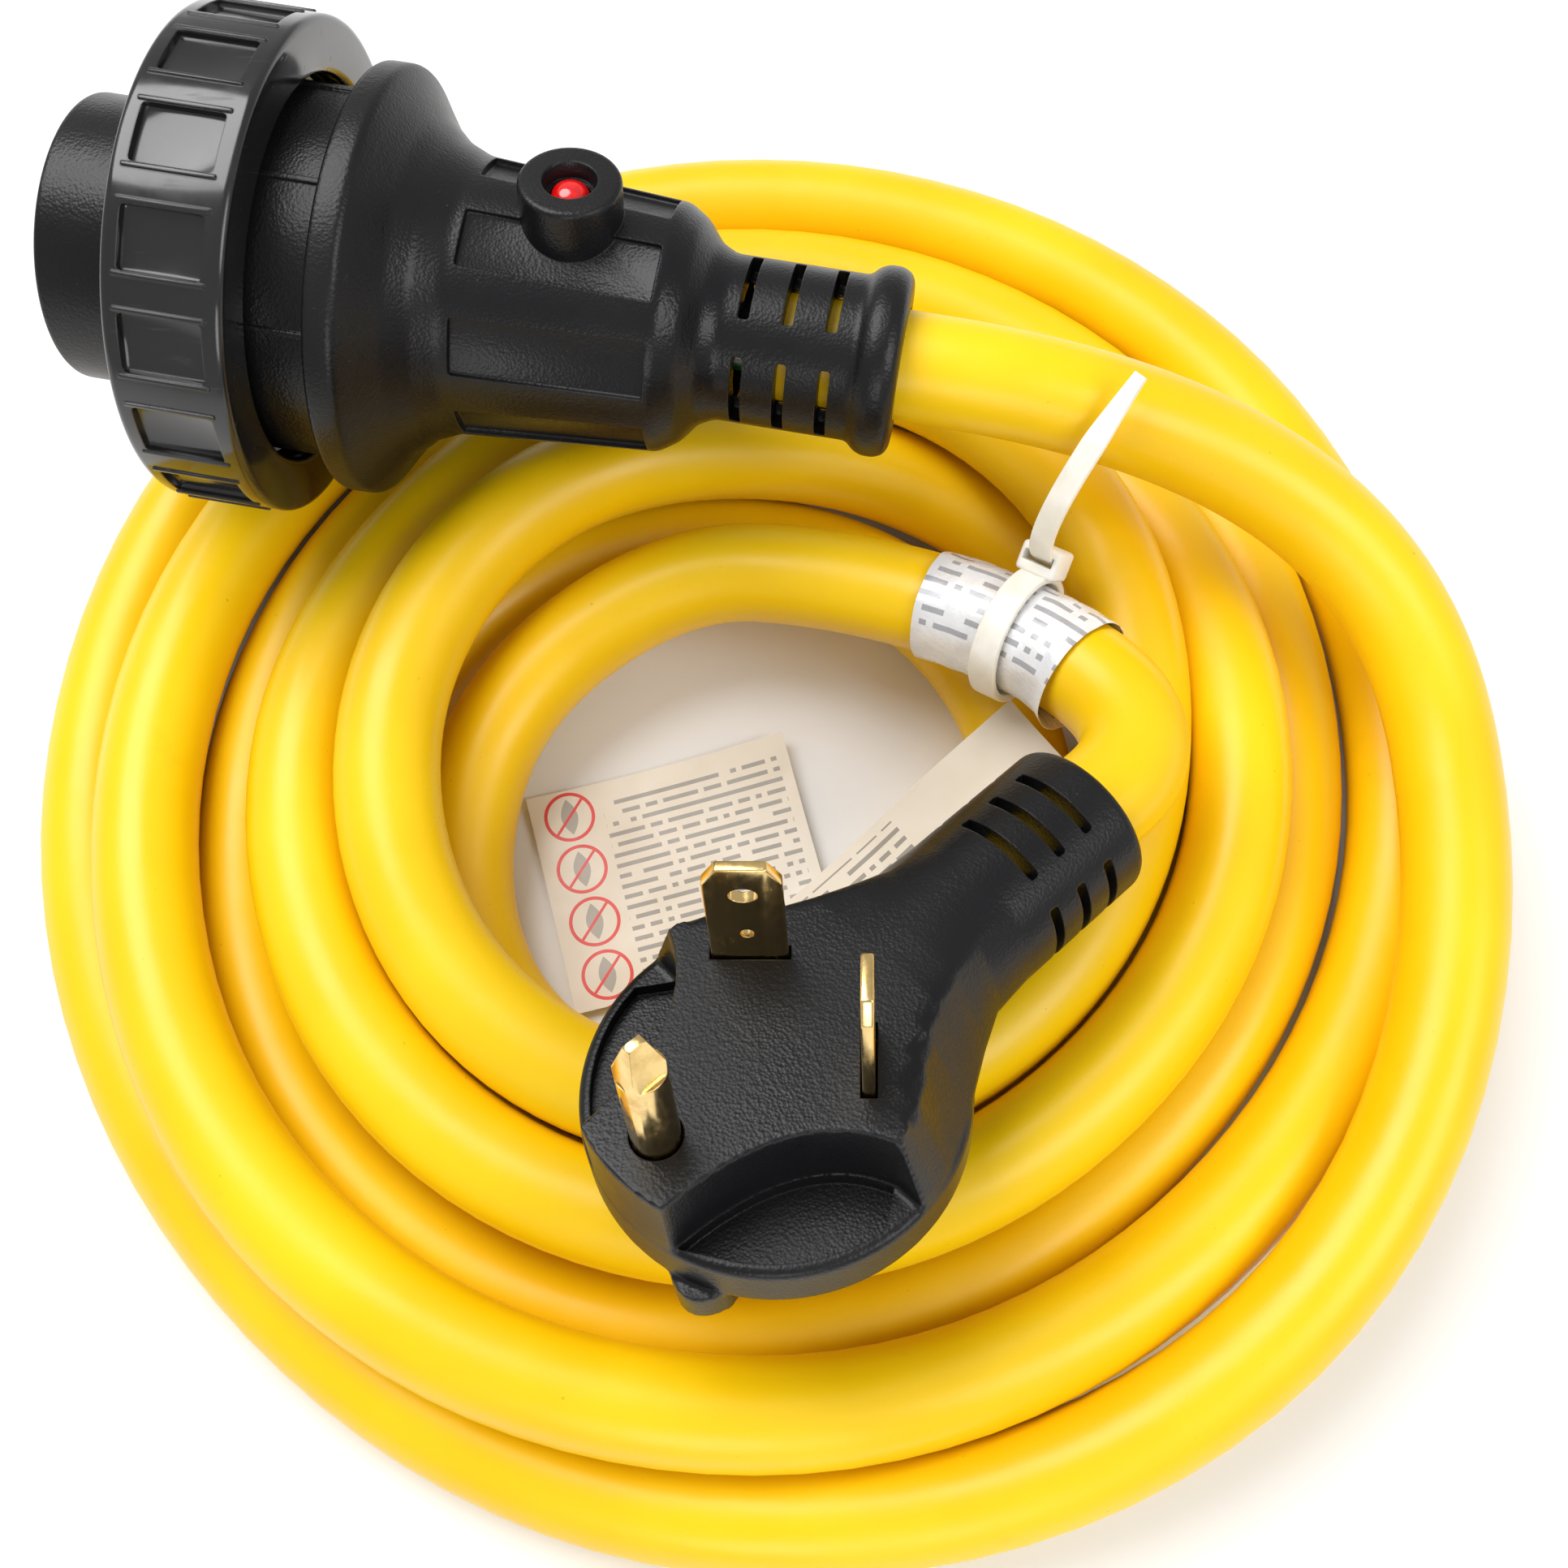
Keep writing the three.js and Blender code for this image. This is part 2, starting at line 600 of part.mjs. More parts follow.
function addPlugCore() {
  const bar = box(1.5, 12.3, -15.8, 15.8, -10, -4.5);
  const stem = box(-23, 2, -4.6, 4.6, -10, -4.5);
  let core = bar.add(stem);
  for (const name of Object.keys(BLADE_PLACES)) core = core.subtract(bladeSlot(name));
  const pinHole = turned(rod(-12, -2, PIN_R + GAP, 20), moved(PIN_X, 0, 0).multiply(aboutY(-90)));
  addPart('plug_core', core.subtract(pinHole), '#8c8c86', PLUG);
}

// The crimp that holds a conductor behind a blade or pin, opening towards the cord.
function crimp(x, y) {
  const place = moved(x, y, TERMINAL_Z);
  const cup = turned(rod(0, 8.5, 3.6, 14), place);
  const bore = turned(rod(1.5, 9, WIRE_R + 0.35, 12), place);
  return { cup, bore };
}

function addBlades() {
  const half = BLADE_WIDTH / 2;
  for (const [name, [x, y]] of Object.entries(BLADE_PLACES)) {
    const shape = new THREE.Shape();
    shape.moveTo(-half, -10.5);
    shape.lineTo(half, -10.5);
    shape.lineTo(half, BLADE_LENGTH - 3);
    shape.lineTo(half - 1.9, BLADE_LENGTH);
    shape.lineTo(-half + 1.9, BLADE_LENGTH);
    shape.lineTo(-half, BLADE_LENGTH - 3);
    const window = new THREE.Path().absellipse(0, BLADE_LENGTH - 5.6, 1.9, 1.5, 0, 2 * Math.PI, true);
    const pinhole = new THREE.Path().absellipse(0, 6, 0.95, 0.95, 0, 2 * Math.PI, true);
    shape.holes.push(window, pinhole);
    // Raised along +Z and laid so that the outline's Y becomes the plug's Z.
    const flat = raise(shape, -BLADE_THICKNESS / 2, BLADE_THICKNESS / 2, 8);
    const blade = turned(flat, bladeFrame(name).multiply(aboutX(90)));
    const root = box(x - 0.8, x + 0.8, y - 3, y + 3, TERMINAL_Z, -10.2);
    const { cup, bore } = crimp(x - 0.8, y);
    addPart(`${name}_blade`, blade.add(root).add(cup).subtract(bore), BRASS, PLUG);
  }
}

function addGroundPin() {
  const profile = [
    [TERMINAL_Z, 0], [TERMINAL_Z, PIN_R], [21, PIN_R], [22.8, 2.4], [23.6, 1.2], [23.6, 0],
  ];
  let pin = turned(revolve(profile, 20), moved(PIN_X, 0, 0).multiply(aboutY(-90)));
  const facet = turned(box(-6, 6, 0, 6, -2, 8), moved(0, 2.4, 19).multiply(aboutX(16)));
  for (const turn of [0, 180]) {
    pin = pin.subtract(turned(facet, moved(PIN_X, 0, 0).multiply(aboutZ(turn))));
  }
  const { cup, bore } = crimp(PIN_X + 1, 0);
  addPart('ground_pin', pin.add(cup).subtract(bore), BRASS, PLUG);
}

function addPlugCord() {
  const seamX = PLUG_BOOT_END + SEAM_OFFSET;
  addPart('plug_end_jacket', bootJacket(PLUG_BOOT_START, seamX, PLUG_BOOT_Z), YELLOW, PLUG);
  const cup = turned(toSolid(new THREE.SphereGeometry(CUP_R, 20, 12)), moved(seamX, 0, PLUG_BOOT_Z));
  const terminals = {
    hot: new V3(BLADE_PLACES.hot[0] + 2, BLADE_PLACES.hot[1], TERMINAL_Z),
    neutral: new V3(BLADE_PLACES.neutral[0] + 2, BLADE_PLACES.neutral[1], TERMINAL_Z),
    ground: new V3(PIN_X + 4, 0, TERMINAL_Z),
  };
  for (const wire of WIRES) {
    const point = wireAtSeam(PLUG_SEAM, PLUG, CORD.facets - 1, wire.turn);
    const solid = splayedWire(point, terminals[wire.name], 36).subtract(cup);
    addPart(`plug_wire_${wire.name}`, solid, wire.colour, PLUG);
  }
}

// ---------------------------------------------------------------- label, cable tie and tag

// A stretch of the cord between two distances, as shares of its facets.
class Stretch extends THREE.Curve {
  constructor(start, end) {
    super();
    this.start = start;
    this.end = end;
  }

  getUtoTmapping(u) {
    return u;
  }

  getPoint(t, target = new V3()) {
    return CORD.getPoint((this.start + (this.end - this.start) * t) / CORD.facets, target);
  }
}

const LEAD_OUT_AT = CORD.facets - 1 - LEAD_OUT_FACETS;
const LABEL_START = LEAD_OUT_AT + 3;
const LABEL_END = LEAD_OUT_AT + 6;
const TIE_AT = LEAD_OUT_AT + 4.5;
const TAG_THICKNESS = 0.6;

function sleeve(start, end, inner, outer, steps) {
  const shape = polygonShape(outer, 16);
  shape.holes.push(polygonShape(inner, 16));
  return sweep(shape, new Stretch(start, end), steps);
}

// A frame at a place on the cord: +X along the cord, +Z up as far as it can be, +Y to the left.
function cordFrame(place) {
  const at = CORD.getPoint(place / CORD.facets);
  const ahead = CORD.getPoint((place + 0.02) / CORD.facets);
  const along = ahead.sub(at).normalize();
  const up = new V3(0, 0, 1).addScaledVector(along, -along.z).normalize();
  const left = up.clone().cross(along);
  return new THREE.Matrix4().makeBasis(along, left, up).setPosition(at);
}

function addLabel() {
  addPart('wrap_label', sleeve(LABEL_START, LABEL_END, 8.8, 9.3, LABEL_END - LABEL_START), WHITE);
}

function addCableTie() {
  const band = tube(-2.2, 2.2, 10, 11.2, 20);
  const head = box(-3.4, 3.4, 10.6, 15.2, -2.4, 3.4);
  const slot = box(-2.6, 2.6, 12, 13.6, -5, 5);
  const tailPath = new THREE.QuadraticBezierCurve3(
    new V3(0, 12.8, -1), new V3(1, 13.5, 16), new V3(8, 44, 12));
  const tail = sweep(new THREE.Shape([
    new V2(-0.6, -2), new V2(0.6, -2), new V2(0.6, 2), new V2(-0.6, 2),
  ]), tailPath, 8);
  const place = cordFrame(TIE_AT).multiply(aboutX(35));
  addPart('cable_tie', band.add(head.subtract(slot)).add(tail), '#e9e9e2', place);
}

// One panel of the folded tag, from its near corner: its heights along its length, its width to the right.
function addTag(name, corner, azimuth, width, heights) {
  const under = heights.map(([along, height]) => new V2(along, height));
  const over = heights.map(([along, height]) => new V2(along, height + TAG_THICKNESS)).reverse();
  const shape = new THREE.Shape();
  shape.moveTo(under[0].x, under[0].y);
  shape.splineThru(under.slice(1));
  shape.lineTo(over[0].x, over[0].y);
  shape.splineThru(over.slice(1));
  const along = new V3(1, 0, 0).applyMatrix4(aboutZ(azimuth));
  const up = new V3(0, 0, 1);
  const place = new THREE.Matrix4().makeBasis(along, up, along.clone().cross(up));
  place.setPosition(corner[0], corner[1], 0);
  addPart(name, raise(shape, 0, width, 4), WHITE, place);
}

addCoil();
addConnectorHousing();
addSocketInsert();
addSocketContacts();
addIndicator();
addCouplingRing();
addRingSeal();
addConnectorCord();
addPlugHousing();
addPlugCore();
addBlades();
addGroundPin();
addPlugCord();
addLabel();
addCableTie();
addTag('tag_left', [-40.6, 0.9], 15, 39, [[0, 0.8], [23, 1.2], [46, 2.6]]);
addTag('tag_right', [52, -2], 219, 17, [[0, 23], [17, 18], [32, 10], [50, 5], [66, 4.5]]);

function centreOnFloor(group) {
  const bounds = new THREE.Box3().setFromObject(group, true);
  const middle = bounds.getCenter(new V3());
  group.position.set(-middle.x, -middle.y, -bounds.min.z);
  group.updateMatrixWorld(true);
}

centreOnFloor(root);

export default root;
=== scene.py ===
import json
import math

import bmesh
import bpy
from mathutils import Matrix, Vector, noise


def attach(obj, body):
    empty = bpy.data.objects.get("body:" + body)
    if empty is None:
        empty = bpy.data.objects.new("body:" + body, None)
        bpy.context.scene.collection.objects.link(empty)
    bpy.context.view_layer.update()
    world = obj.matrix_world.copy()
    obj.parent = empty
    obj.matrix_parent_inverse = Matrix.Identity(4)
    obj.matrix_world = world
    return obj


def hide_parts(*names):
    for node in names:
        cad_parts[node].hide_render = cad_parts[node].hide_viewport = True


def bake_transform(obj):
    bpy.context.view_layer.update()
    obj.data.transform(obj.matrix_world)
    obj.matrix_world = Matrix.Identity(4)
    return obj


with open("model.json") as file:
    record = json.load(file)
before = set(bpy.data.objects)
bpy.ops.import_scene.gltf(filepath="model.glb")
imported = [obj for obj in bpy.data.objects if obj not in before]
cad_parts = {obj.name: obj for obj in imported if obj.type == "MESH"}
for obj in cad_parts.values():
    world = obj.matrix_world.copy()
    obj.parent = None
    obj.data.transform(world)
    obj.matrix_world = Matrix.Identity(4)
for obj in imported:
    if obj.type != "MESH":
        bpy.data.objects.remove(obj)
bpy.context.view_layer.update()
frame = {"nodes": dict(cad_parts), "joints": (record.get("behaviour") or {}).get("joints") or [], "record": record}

MM = 0.001

# ---------------- driving dimensions (mm)

CORD_R = 8.25
CORD_SIDES = 28
STEP_DEG = 45
RINGS_PER_STEP = 12
# The coil, clockwise from above: one row a turn, one [radius, height] pair every 45 degrees from +X.
TURNS = [
    [[109, 30], [117, 21], [114, 11], [110, 8.5], [113, 8.5], [117.5, 8.5], [118.5, 8.5], [116, 8.5]],
    [[108.5, 8.5], [101, 14.5], [99.5, 22], [100.5, 24], [99.5, 20.5], [101, 13], [101.5, 10.5], [98.5, 8.5]],
    [[90.5, 8.5], [85, 8.5], [88, 8.5], [90.5, 8.5], [86.5, 8.5], [84, 8.5], [84, 9.5], [83, 16]],
    [[78.5, 22], [74, 25], [74, 26], [75, 26], [73.5, 25], [72, 20.5], [74.5, 27], [70, 29.5]],
    [[61.5, 24], [57, 24], [56.5, 26.5], [58.5, 30], [58, 33], [57, 32], [57.5, 23], [63.5, 12]],
    [[67.5, 8.5], [67.5, 8.5], [70.5, 8.5], [73.5, 8.5], [67, 8.5], [56.5, 8.5], [47, 8.5], [44.5, 8.5]],
    [[45.5, 8.5], [49, 8.5], [53.5, 8.5], [56, 9], [47.5, 13.5], [38.5, 18], [34, 24]],
]
LEAD_RINGS = 56
# The bend at each seam: the length of its piece on the coil's side.
FLEX_CORD_SIDE = 11

# How far the cord reaches into each boot, and how far apart its rings are there.
CORD_IN_BOOT = 26
BOOT_RING_PITCH = 2

# Where the cord leaves the connector, from the coil's own axis, as the tag's places are too.
CONNECTOR_EXIT = Vector((22, 51, 61))
CONNECTOR_LENGTH = 126
CONNECTOR_ROLL = 14
SEAM_OFFSET = 6
BARREL_R = 21.4
SOCKET_R = 18.9
BODY_R = 27.5
FLANGE_R = 32
CONNECTOR_BOOT_R = 12.4
CORD_HOLE_R = CORD_R + 0.45
GRIP_PANELS = 8
BOSS_X = 76
BOSS_R = 7.5
BOSS_TOP = 25
LENS_R = 2.75
LENS_TOP = 24.1
LENS_CROWN = 1.9

RING_R = 37
RING_X = 17.5
RING_WIDTH = 17.5
RING_PADS = 16
RING_BORE_R = 33.4
RING_LIP_R = 28.8
RING_LIP = 3.6
THREADS = 3
THREAD_PITCH = 3
THREAD_DEPTH = 1.2

PLUG_AZIMUTH = 45
DISC_R = 26.5
DISC_TOP = -13
DISC_BOTTOM = -22
PLUG_BOOT_R = 12.2
PLUG_BOOT_Z = -12.4
PLUG_BOOT_START = 37
PLUG_BOOT_END = 61
BLADE_LENGTH = 20.5
BLADE_WIDTH = 10.2
BLADE_THICKNESS = 1.6
BLADE_ROOT = 10.5
BLADE_PLACES = {"hot": (6.8, -11.1), "neutral": (6.8, 11.1)}
PIN_X = -19.2
PIN_R = 3.2
PIN_LENGTH = 23.6
TERMINAL_Z = -16.6
CUP_R = 3.6
CUP_LENGTH = 8.5
CUP_BORE_R = 2.95
GAP = 0.3

# The plug's raised nose: where its tip and its shoulders are along the plug, and half its width there.
NOSE_TIP_X = -25.2
NOSE_TIP_HALF = 7.8
SHOULDER_X = 1.4
SHOULDER_HALF = 21.7

# The label and tie are placed by shares of the bend that leads from the coil to the plug.
LABEL_START = 0.3
LABEL_END = 0.6
LABEL_R = 9.0
LABEL_AROUND = 58.0
TIE_PLACE = 0.45
TIE_ROLL = 35
UV_MM = 100.0

# Lights and the camera's distance are in metres, and the camera's aim is in millimetres from the coil's axis.
CAMERA_ELEVATION = 71.5
CAMERA_DISTANCE = 0.305
CAMERA_LENS = 41.0
CAMERA_AIM = Vector((4.2, 1.9, 8.0))
LIGHTS = {
    "key": {"place": (-0.35, 0.35, 0.8), "size": 0.7, "power": 7.3},
    "fill": {"place": (0.6, -0.3, 0.7), "size": 0.5, "power": 3},
    "front": {"place": (0.0, -0.8, 0.45), "size": 0.4, "power": 1.5},
}
WORLD_STRENGTH = 0.5
FLOOR_HALF = 3.0

# ---------------- frames from the record

JOINTS = {joint["name"]: joint for joint in frame["joints"]}
MOUNTS = {mount["name"]: mount for mount in frame["record"]["mounts"]}


def frame_matrix(x_axis, y_axis, z_axis, origin):
    matrix = Matrix((x_axis, y_axis, z_axis)).transposed().to_4x4()
    matrix.translation = origin
    return matrix


def point_of(joint):
    return Vector(JOINTS[joint]["pos_m"]) / MM


def connector_frame():
    along = Vector(JOINTS["ring_spin"]["axis"]).normalized()
    side = Vector(JOINTS["connector_flex"]["axis"]).normalized()
    roll = Matrix.Rotation(math.radians(-CONNECTOR_ROLL), 4, "X")
    return frame_matrix(along, side, along.cross(side), point_of("ring_spin")) @ roll


def plug_frame():
    normal = Vector(MOUNTS["plug_face"]["axis"]).normalized()
    azimuth = math.radians(PLUG_AZIMUTH)
    heading = Vector((math.cos(azimuth), math.sin(azimuth), 0))
    along = (heading - heading.dot(normal) * normal).normalized()
    seam = point_of("plug_flex")
    origin = seam - along * (PLUG_BOOT_END + SEAM_OFFSET) - normal * PLUG_BOOT_Z
    return frame_matrix(along, normal.cross(along), normal, origin)


CONNECTOR = connector_frame()
PLUG = plug_frame()
CONNECTOR_SEAM = CONNECTOR @ Vector((CONNECTOR_LENGTH + SEAM_OFFSET, 0, 0))
PLUG_SEAM = PLUG @ Vector((PLUG_BOOT_END + SEAM_OFFSET, 0, PLUG_BOOT_Z))
COIL_CENTRE = CONNECTOR @ Vector((CONNECTOR_LENGTH, 0, 0)) - CONNECTOR_EXIT
CONNECTOR_OUT = CONNECTOR.to_3x3() @ Vector((1, 0, 0))
PLUG_OUT = PLUG.to_3x3() @ Vector((1, 0, 0))

# ---------------- mesh helpers


def linked(name, data):
    """A new object in the scene that holds a mesh, light or camera."""
    obj = bpy.data.objects.new(name, data)
    bpy.context.scene.collection.objects.link(obj)
    return obj


def new_object(name, vertices, faces):
    mesh = bpy.data.meshes.new(name)
    mesh.from_pydata([tuple(v) for v in vertices], [], faces)
    mesh.update()
    return linked(name, mesh)


def clean(obj):
    """Joins double points and turns every face outwards."""
    work = bmesh.new()
    work.from_mesh(obj.data)
    bmesh.ops.remove_doubles(work, verts=work.verts, dist=1e-4)
    bmesh.ops.recalc_face_normals(work, faces=work.faces)
    work.to_mesh(obj.data)
    work.free()
    return obj


def moved(obj, matrix):
    obj.data.transform(matrix)
    if matrix.determinant() < 0:
        obj.data.flip_normals()
    return obj


def shift(x, y, z):
    return Matrix.Translation((x, y, z))


def about(axis, degrees):
    return Matrix.Rotation(math.radians(degrees), 4, axis)


def softened(points, radius, steps=3):
    """An open or closed outline with its corners rounded by short curves."""
    closed = points[0] == points[-1]
    corners = points[:-1] if closed else points
    count = len(corners)
    result = []
    for i, corner in enumerate(corners):
        here = Vector(corner)
        if not closed and i in (0, count - 1):
            result.append(tuple(here))
            continue
        before = Vector(corners[(i - 1) % count]) - here
        after = Vector(corners[(i + 1) % count]) - here
        reach = min(radius, before.length * 0.45, after.length * 0.45)
        start = here + before.normalized() * reach
        end = here + after.normalized() * reach
        for k in range(steps + 1):
            t = k / steps
            result.append(tuple(start * (1 - t) ** 2 + here * 2 * t * (1 - t) + end * t * t))
    if closed:
        result.append(result[0])
    return result


def revolve(name, profile, segments=96):
    """A solid about X from (x, radius) points; a profile that ends where it starts makes a ring."""
    closed = profile[0] == profile[-1]
    rows = profile[:-1] if closed else profile
    vertices = []
    for x, r in rows:
        for k in range(segments):
            angle = 2 * math.pi * k / segments
            vertices.append((x, r * math.cos(angle), r * math.sin(angle)))
    faces = []
    for i in range(len(rows) if closed else len(rows) - 1):
        j = (i + 1) % len(rows)
        for k in range(segments):
            n = (k + 1) % segments
            faces.append((i * segments + k, i * segments + n, j * segments + n, j * segments + k))
    return clean(new_object(name, vertices, faces))


def rod(x0, x1, radius, segments=48):
    return revolve("rod", [(x0, 0), (x0, radius), (x1, radius), (x1, 0)], segments)


def rounded_box(x0, x1, y0, y1, z0, z1, radius=0.3, segments=2):
    work = bmesh.new()
    size = Matrix.Diagonal((x1 - x0, y1 - y0, z1 - z0, 1))
    centre = shift((x0 + x1) / 2, (y0 + y1) / 2, (z0 + z1) / 2)
    bmesh.ops.create_cube(work, size=1, matrix=centre @ size)
    bmesh.ops.bevel(work, geom=work.edges[:], offset=radius, segments=segments, profile=0.5, affect="EDGES")
    mesh = bpy.data.meshes.new("box")
    work.to_mesh(mesh)
    work.free()
    return linked("box", mesh)


def raised(name, outline, z0, z1):
    """A closed flat outline in X and Y raised from z0 to z1."""
    points = outline[:-1] if outline[0] == outline[-1] else outline
    count = len(points)
    vertices = [(x, y, z0) for x, y in points] + [(x, y, z1) for x, y in points]
    faces = [tuple(reversed(range(count))), tuple(range(count, 2 * count))]
    faces += [(i, (i + 1) % count, count + (i + 1) % count, count + i) for i in range(count)]
    return clean(new_object(name, vertices, faces))


def applied(obj):
    """Makes the result of an object's modifiers its mesh."""
    graph = bpy.context.evaluated_depsgraph_get()
    mesh = bpy.data.meshes.new_from_object(obj.evaluated_get(graph))
    old = obj.data
    obj.modifiers.clear()
    obj.data = mesh
    bpy.data.meshes.remove(old)
    return obj


def combined(obj, others, operation):
    """Adds or cuts away the other solids, which are used up."""
    group = bpy.data.collections.new("operands")
    bpy.context.scene.collection.children.link(group)
    for other in others:
        bpy.context.scene.collection.objects.unlink(other)
        group.objects.link(other)
    modifier = obj.modifiers.new("combine", "BOOLEAN")
    modifier.operation = operation
    modifier.solver = "EXACT"
    modifier.operand_type = "COLLECTION"
    modifier.collection = group
    applied(obj)
    for other in others:
        bpy.data.objects.remove(other)
    bpy.data.collections.remove(group)
    return obj


def joined(name, objs):
    """One object that holds the meshes of several."""
    work = bmesh.new()
    for obj in objs:
        work.from_mesh(obj.data)
        bpy.data.objects.remove(obj)
    mesh = bpy.data.meshes.new(name)
    work.to_mesh(mesh)
    work.free()
    return linked(name, mesh)


def fused(obj, voxel, smoothing):
    """Overlapping solids made one skin, with the soft edges of a moulding."""
    remesh = obj.modifiers.new("fuse", "REMESH")
    remesh.mode = "VOXEL"
    remesh.voxel_size = voxel
    smooth = obj.modifiers.new("soften", "SMOOTH")
    smooth.factor = 0.5
    smooth.iterations = smoothing
    return applied(obj)


def keep_piece(obj, name, material, local=None, crease=35):
    """Places a finished shape in the scene, in metres, with its name, finish and shading."""
    obj.name = name
    obj.data.name = name
    if local is not None:
        moved(obj, local)
    moved(obj, Matrix.Diagonal((MM, MM, MM, 1)))
    obj.data.materials.clear()
    obj.data.materials.append(material)
    obj.data.shade_smooth()
    obj.data.set_sharp_from_angle(angle=math.radians(crease))
    return obj


def stand_in(piece, body, node):
    """Fixes a finished piece to its body, in the place of a CAD part."""
    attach(piece, body)
    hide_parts(node)


# ---------------- the cord's centre line

STATIONS = [Vector(pair) for turn in TURNS for pair in turn]


def spline_between(values, i, t):
    """A Catmull-Rom curve through numbers or vectors, at share t of the way from number i to the next."""
    p1 = values[i]
    p2 = values[i + 1]
    p0 = values[i - 1] if i > 0 else 2 * p1 - p2
    p3 = values[i + 2] if i + 2 < len(values) else 2 * p2 - p1
    slope1 = (p2 - p0) / 2
    slope2 = (p3 - p1) / 2
    curve = p1 + slope1 * t
    curve = curve + (3 * (p2 - p1) - 2 * slope1 - slope2) * t ** 2
    return curve + (2 * (p1 - p2) + slope1 + slope2) * t ** 3


def coil_point(step):
    """The centre of the coiled cord at a place counted in stations."""
    i = min(int(step), len(STATIONS) - 2)
    curve = spline_between(STATIONS, i, step - i)
    angle = math.radians(-STEP_DEG * step)
    return COIL_CENTRE + Vector((curve.x * math.cos(angle), curve.x * math.sin(angle), curve.y))


def coil_direction(step, delta=0.005):
    last = len(STATIONS) - 1
    before = coil_point(max(step - delta, 0))
    after = coil_point(min(step + delta, last))
    return (after - before).normalized()


def bend_between(start, start_direction, start_reach, end, end_direction, end_reach):
    """A cubic bend between two points in set directions; the reaches say how gently."""
    span = (end - start).length
    first = start + start_direction * span * start_reach
    second = end - end_direction * span * end_reach

    def point(t):
        u = 1 - t
        return start * u ** 3 + first * 3 * u * u * t + second * 3 * u * t * t + end * t ** 3

    return point


COIL_LAST = len(STATIONS) - 1
lead_in = bend_between(CONNECTOR_SEAM, CONNECTOR_OUT, 0.38, coil_point(0), coil_direction(0), 0.42)
lead_out = bend_between(coil_point(COIL_LAST), coil_direction(COIL_LAST), 0.44, PLUG_SEAM, -PLUG_OUT, 0.36)


def cord_points():
    count = CORD_IN_BOOT // BOOT_RING_PITCH
    points = [CONNECTOR_SEAM - CONNECTOR_OUT * (CORD_IN_BOOT - BOOT_RING_PITCH * k) for k in range(count)]
    points += [lead_in(k / LEAD_RINGS) for k in range(LEAD_RINGS)]
    points += [coil_point(k / RINGS_PER_STEP) for k in range(COIL_LAST * RINGS_PER_STEP)]
    points += [lead_out(k / LEAD_RINGS) for k in range(LEAD_RINGS)]
    points += [PLUG_SEAM - PLUG_OUT * BOOT_RING_PITCH * k for k in range(count + 1)]
    return points


def rings_along(points):
    """A centre, two crosswise directions and the distance run at each point, without twist."""
    rings = []
    run = 0
    side = None
    for i, here in enumerate(points):
        ahead = points[min(i + 1, len(points) - 1)] - points[max(i - 1, 0)]
        along = ahead.normalized()
        if side is None:
            side = along.cross(Vector((0, 0, 1))).normalized()
        side = (side - along * side.dot(along)).normalized()
        if i:
            run += (here - points[i - 1]).length
        rings.append((here, side, along.cross(side), run))
    return rings


def swept(name, rings, section, capped=True):
    """A skin through rings; section(run) gives the outline there as points across the path."""
    vertices = []
    for centre, side, up, run in rings:
        outline = section(run)
        vertices += [centre + side * a + up * b for a, b in outline]
    count = len(outline)
    faces = []
    for i in range(len(rings) - 1):
        for k in range(count):
            n = (k + 1) % count
            faces.append((i * count + k, (i + 1) * count + k, (i + 1) * count + n, i * count + n))
    if capped:
        last = (len(rings) - 1) * count
        faces.append(tuple(range(count)))
        faces.append(tuple(last + k for k in reversed(range(count))))
    obj = new_object(name, vertices, faces)
    layer = obj.data.uv_layers.new(name="Along")
    for face in obj.data.polygons[: (len(rings) - 1) * count]:
        for loop in face.loop_indices:
            vertex = obj.data.loops[loop].vertex_index
            around = (vertex % count) / count
            if vertex % count == 0 and face.index % count == count - 1:
                around = 1.0
            layer.data[loop].uv = (rings[vertex // count][3] / UV_MM, around)
    return obj


def circle(radius, sides):
    step = 2 * math.pi / sides
    return [(radius * math.cos(step * k), radius * math.sin(step * k)) for k in range(sides)]


# ---------------- materials


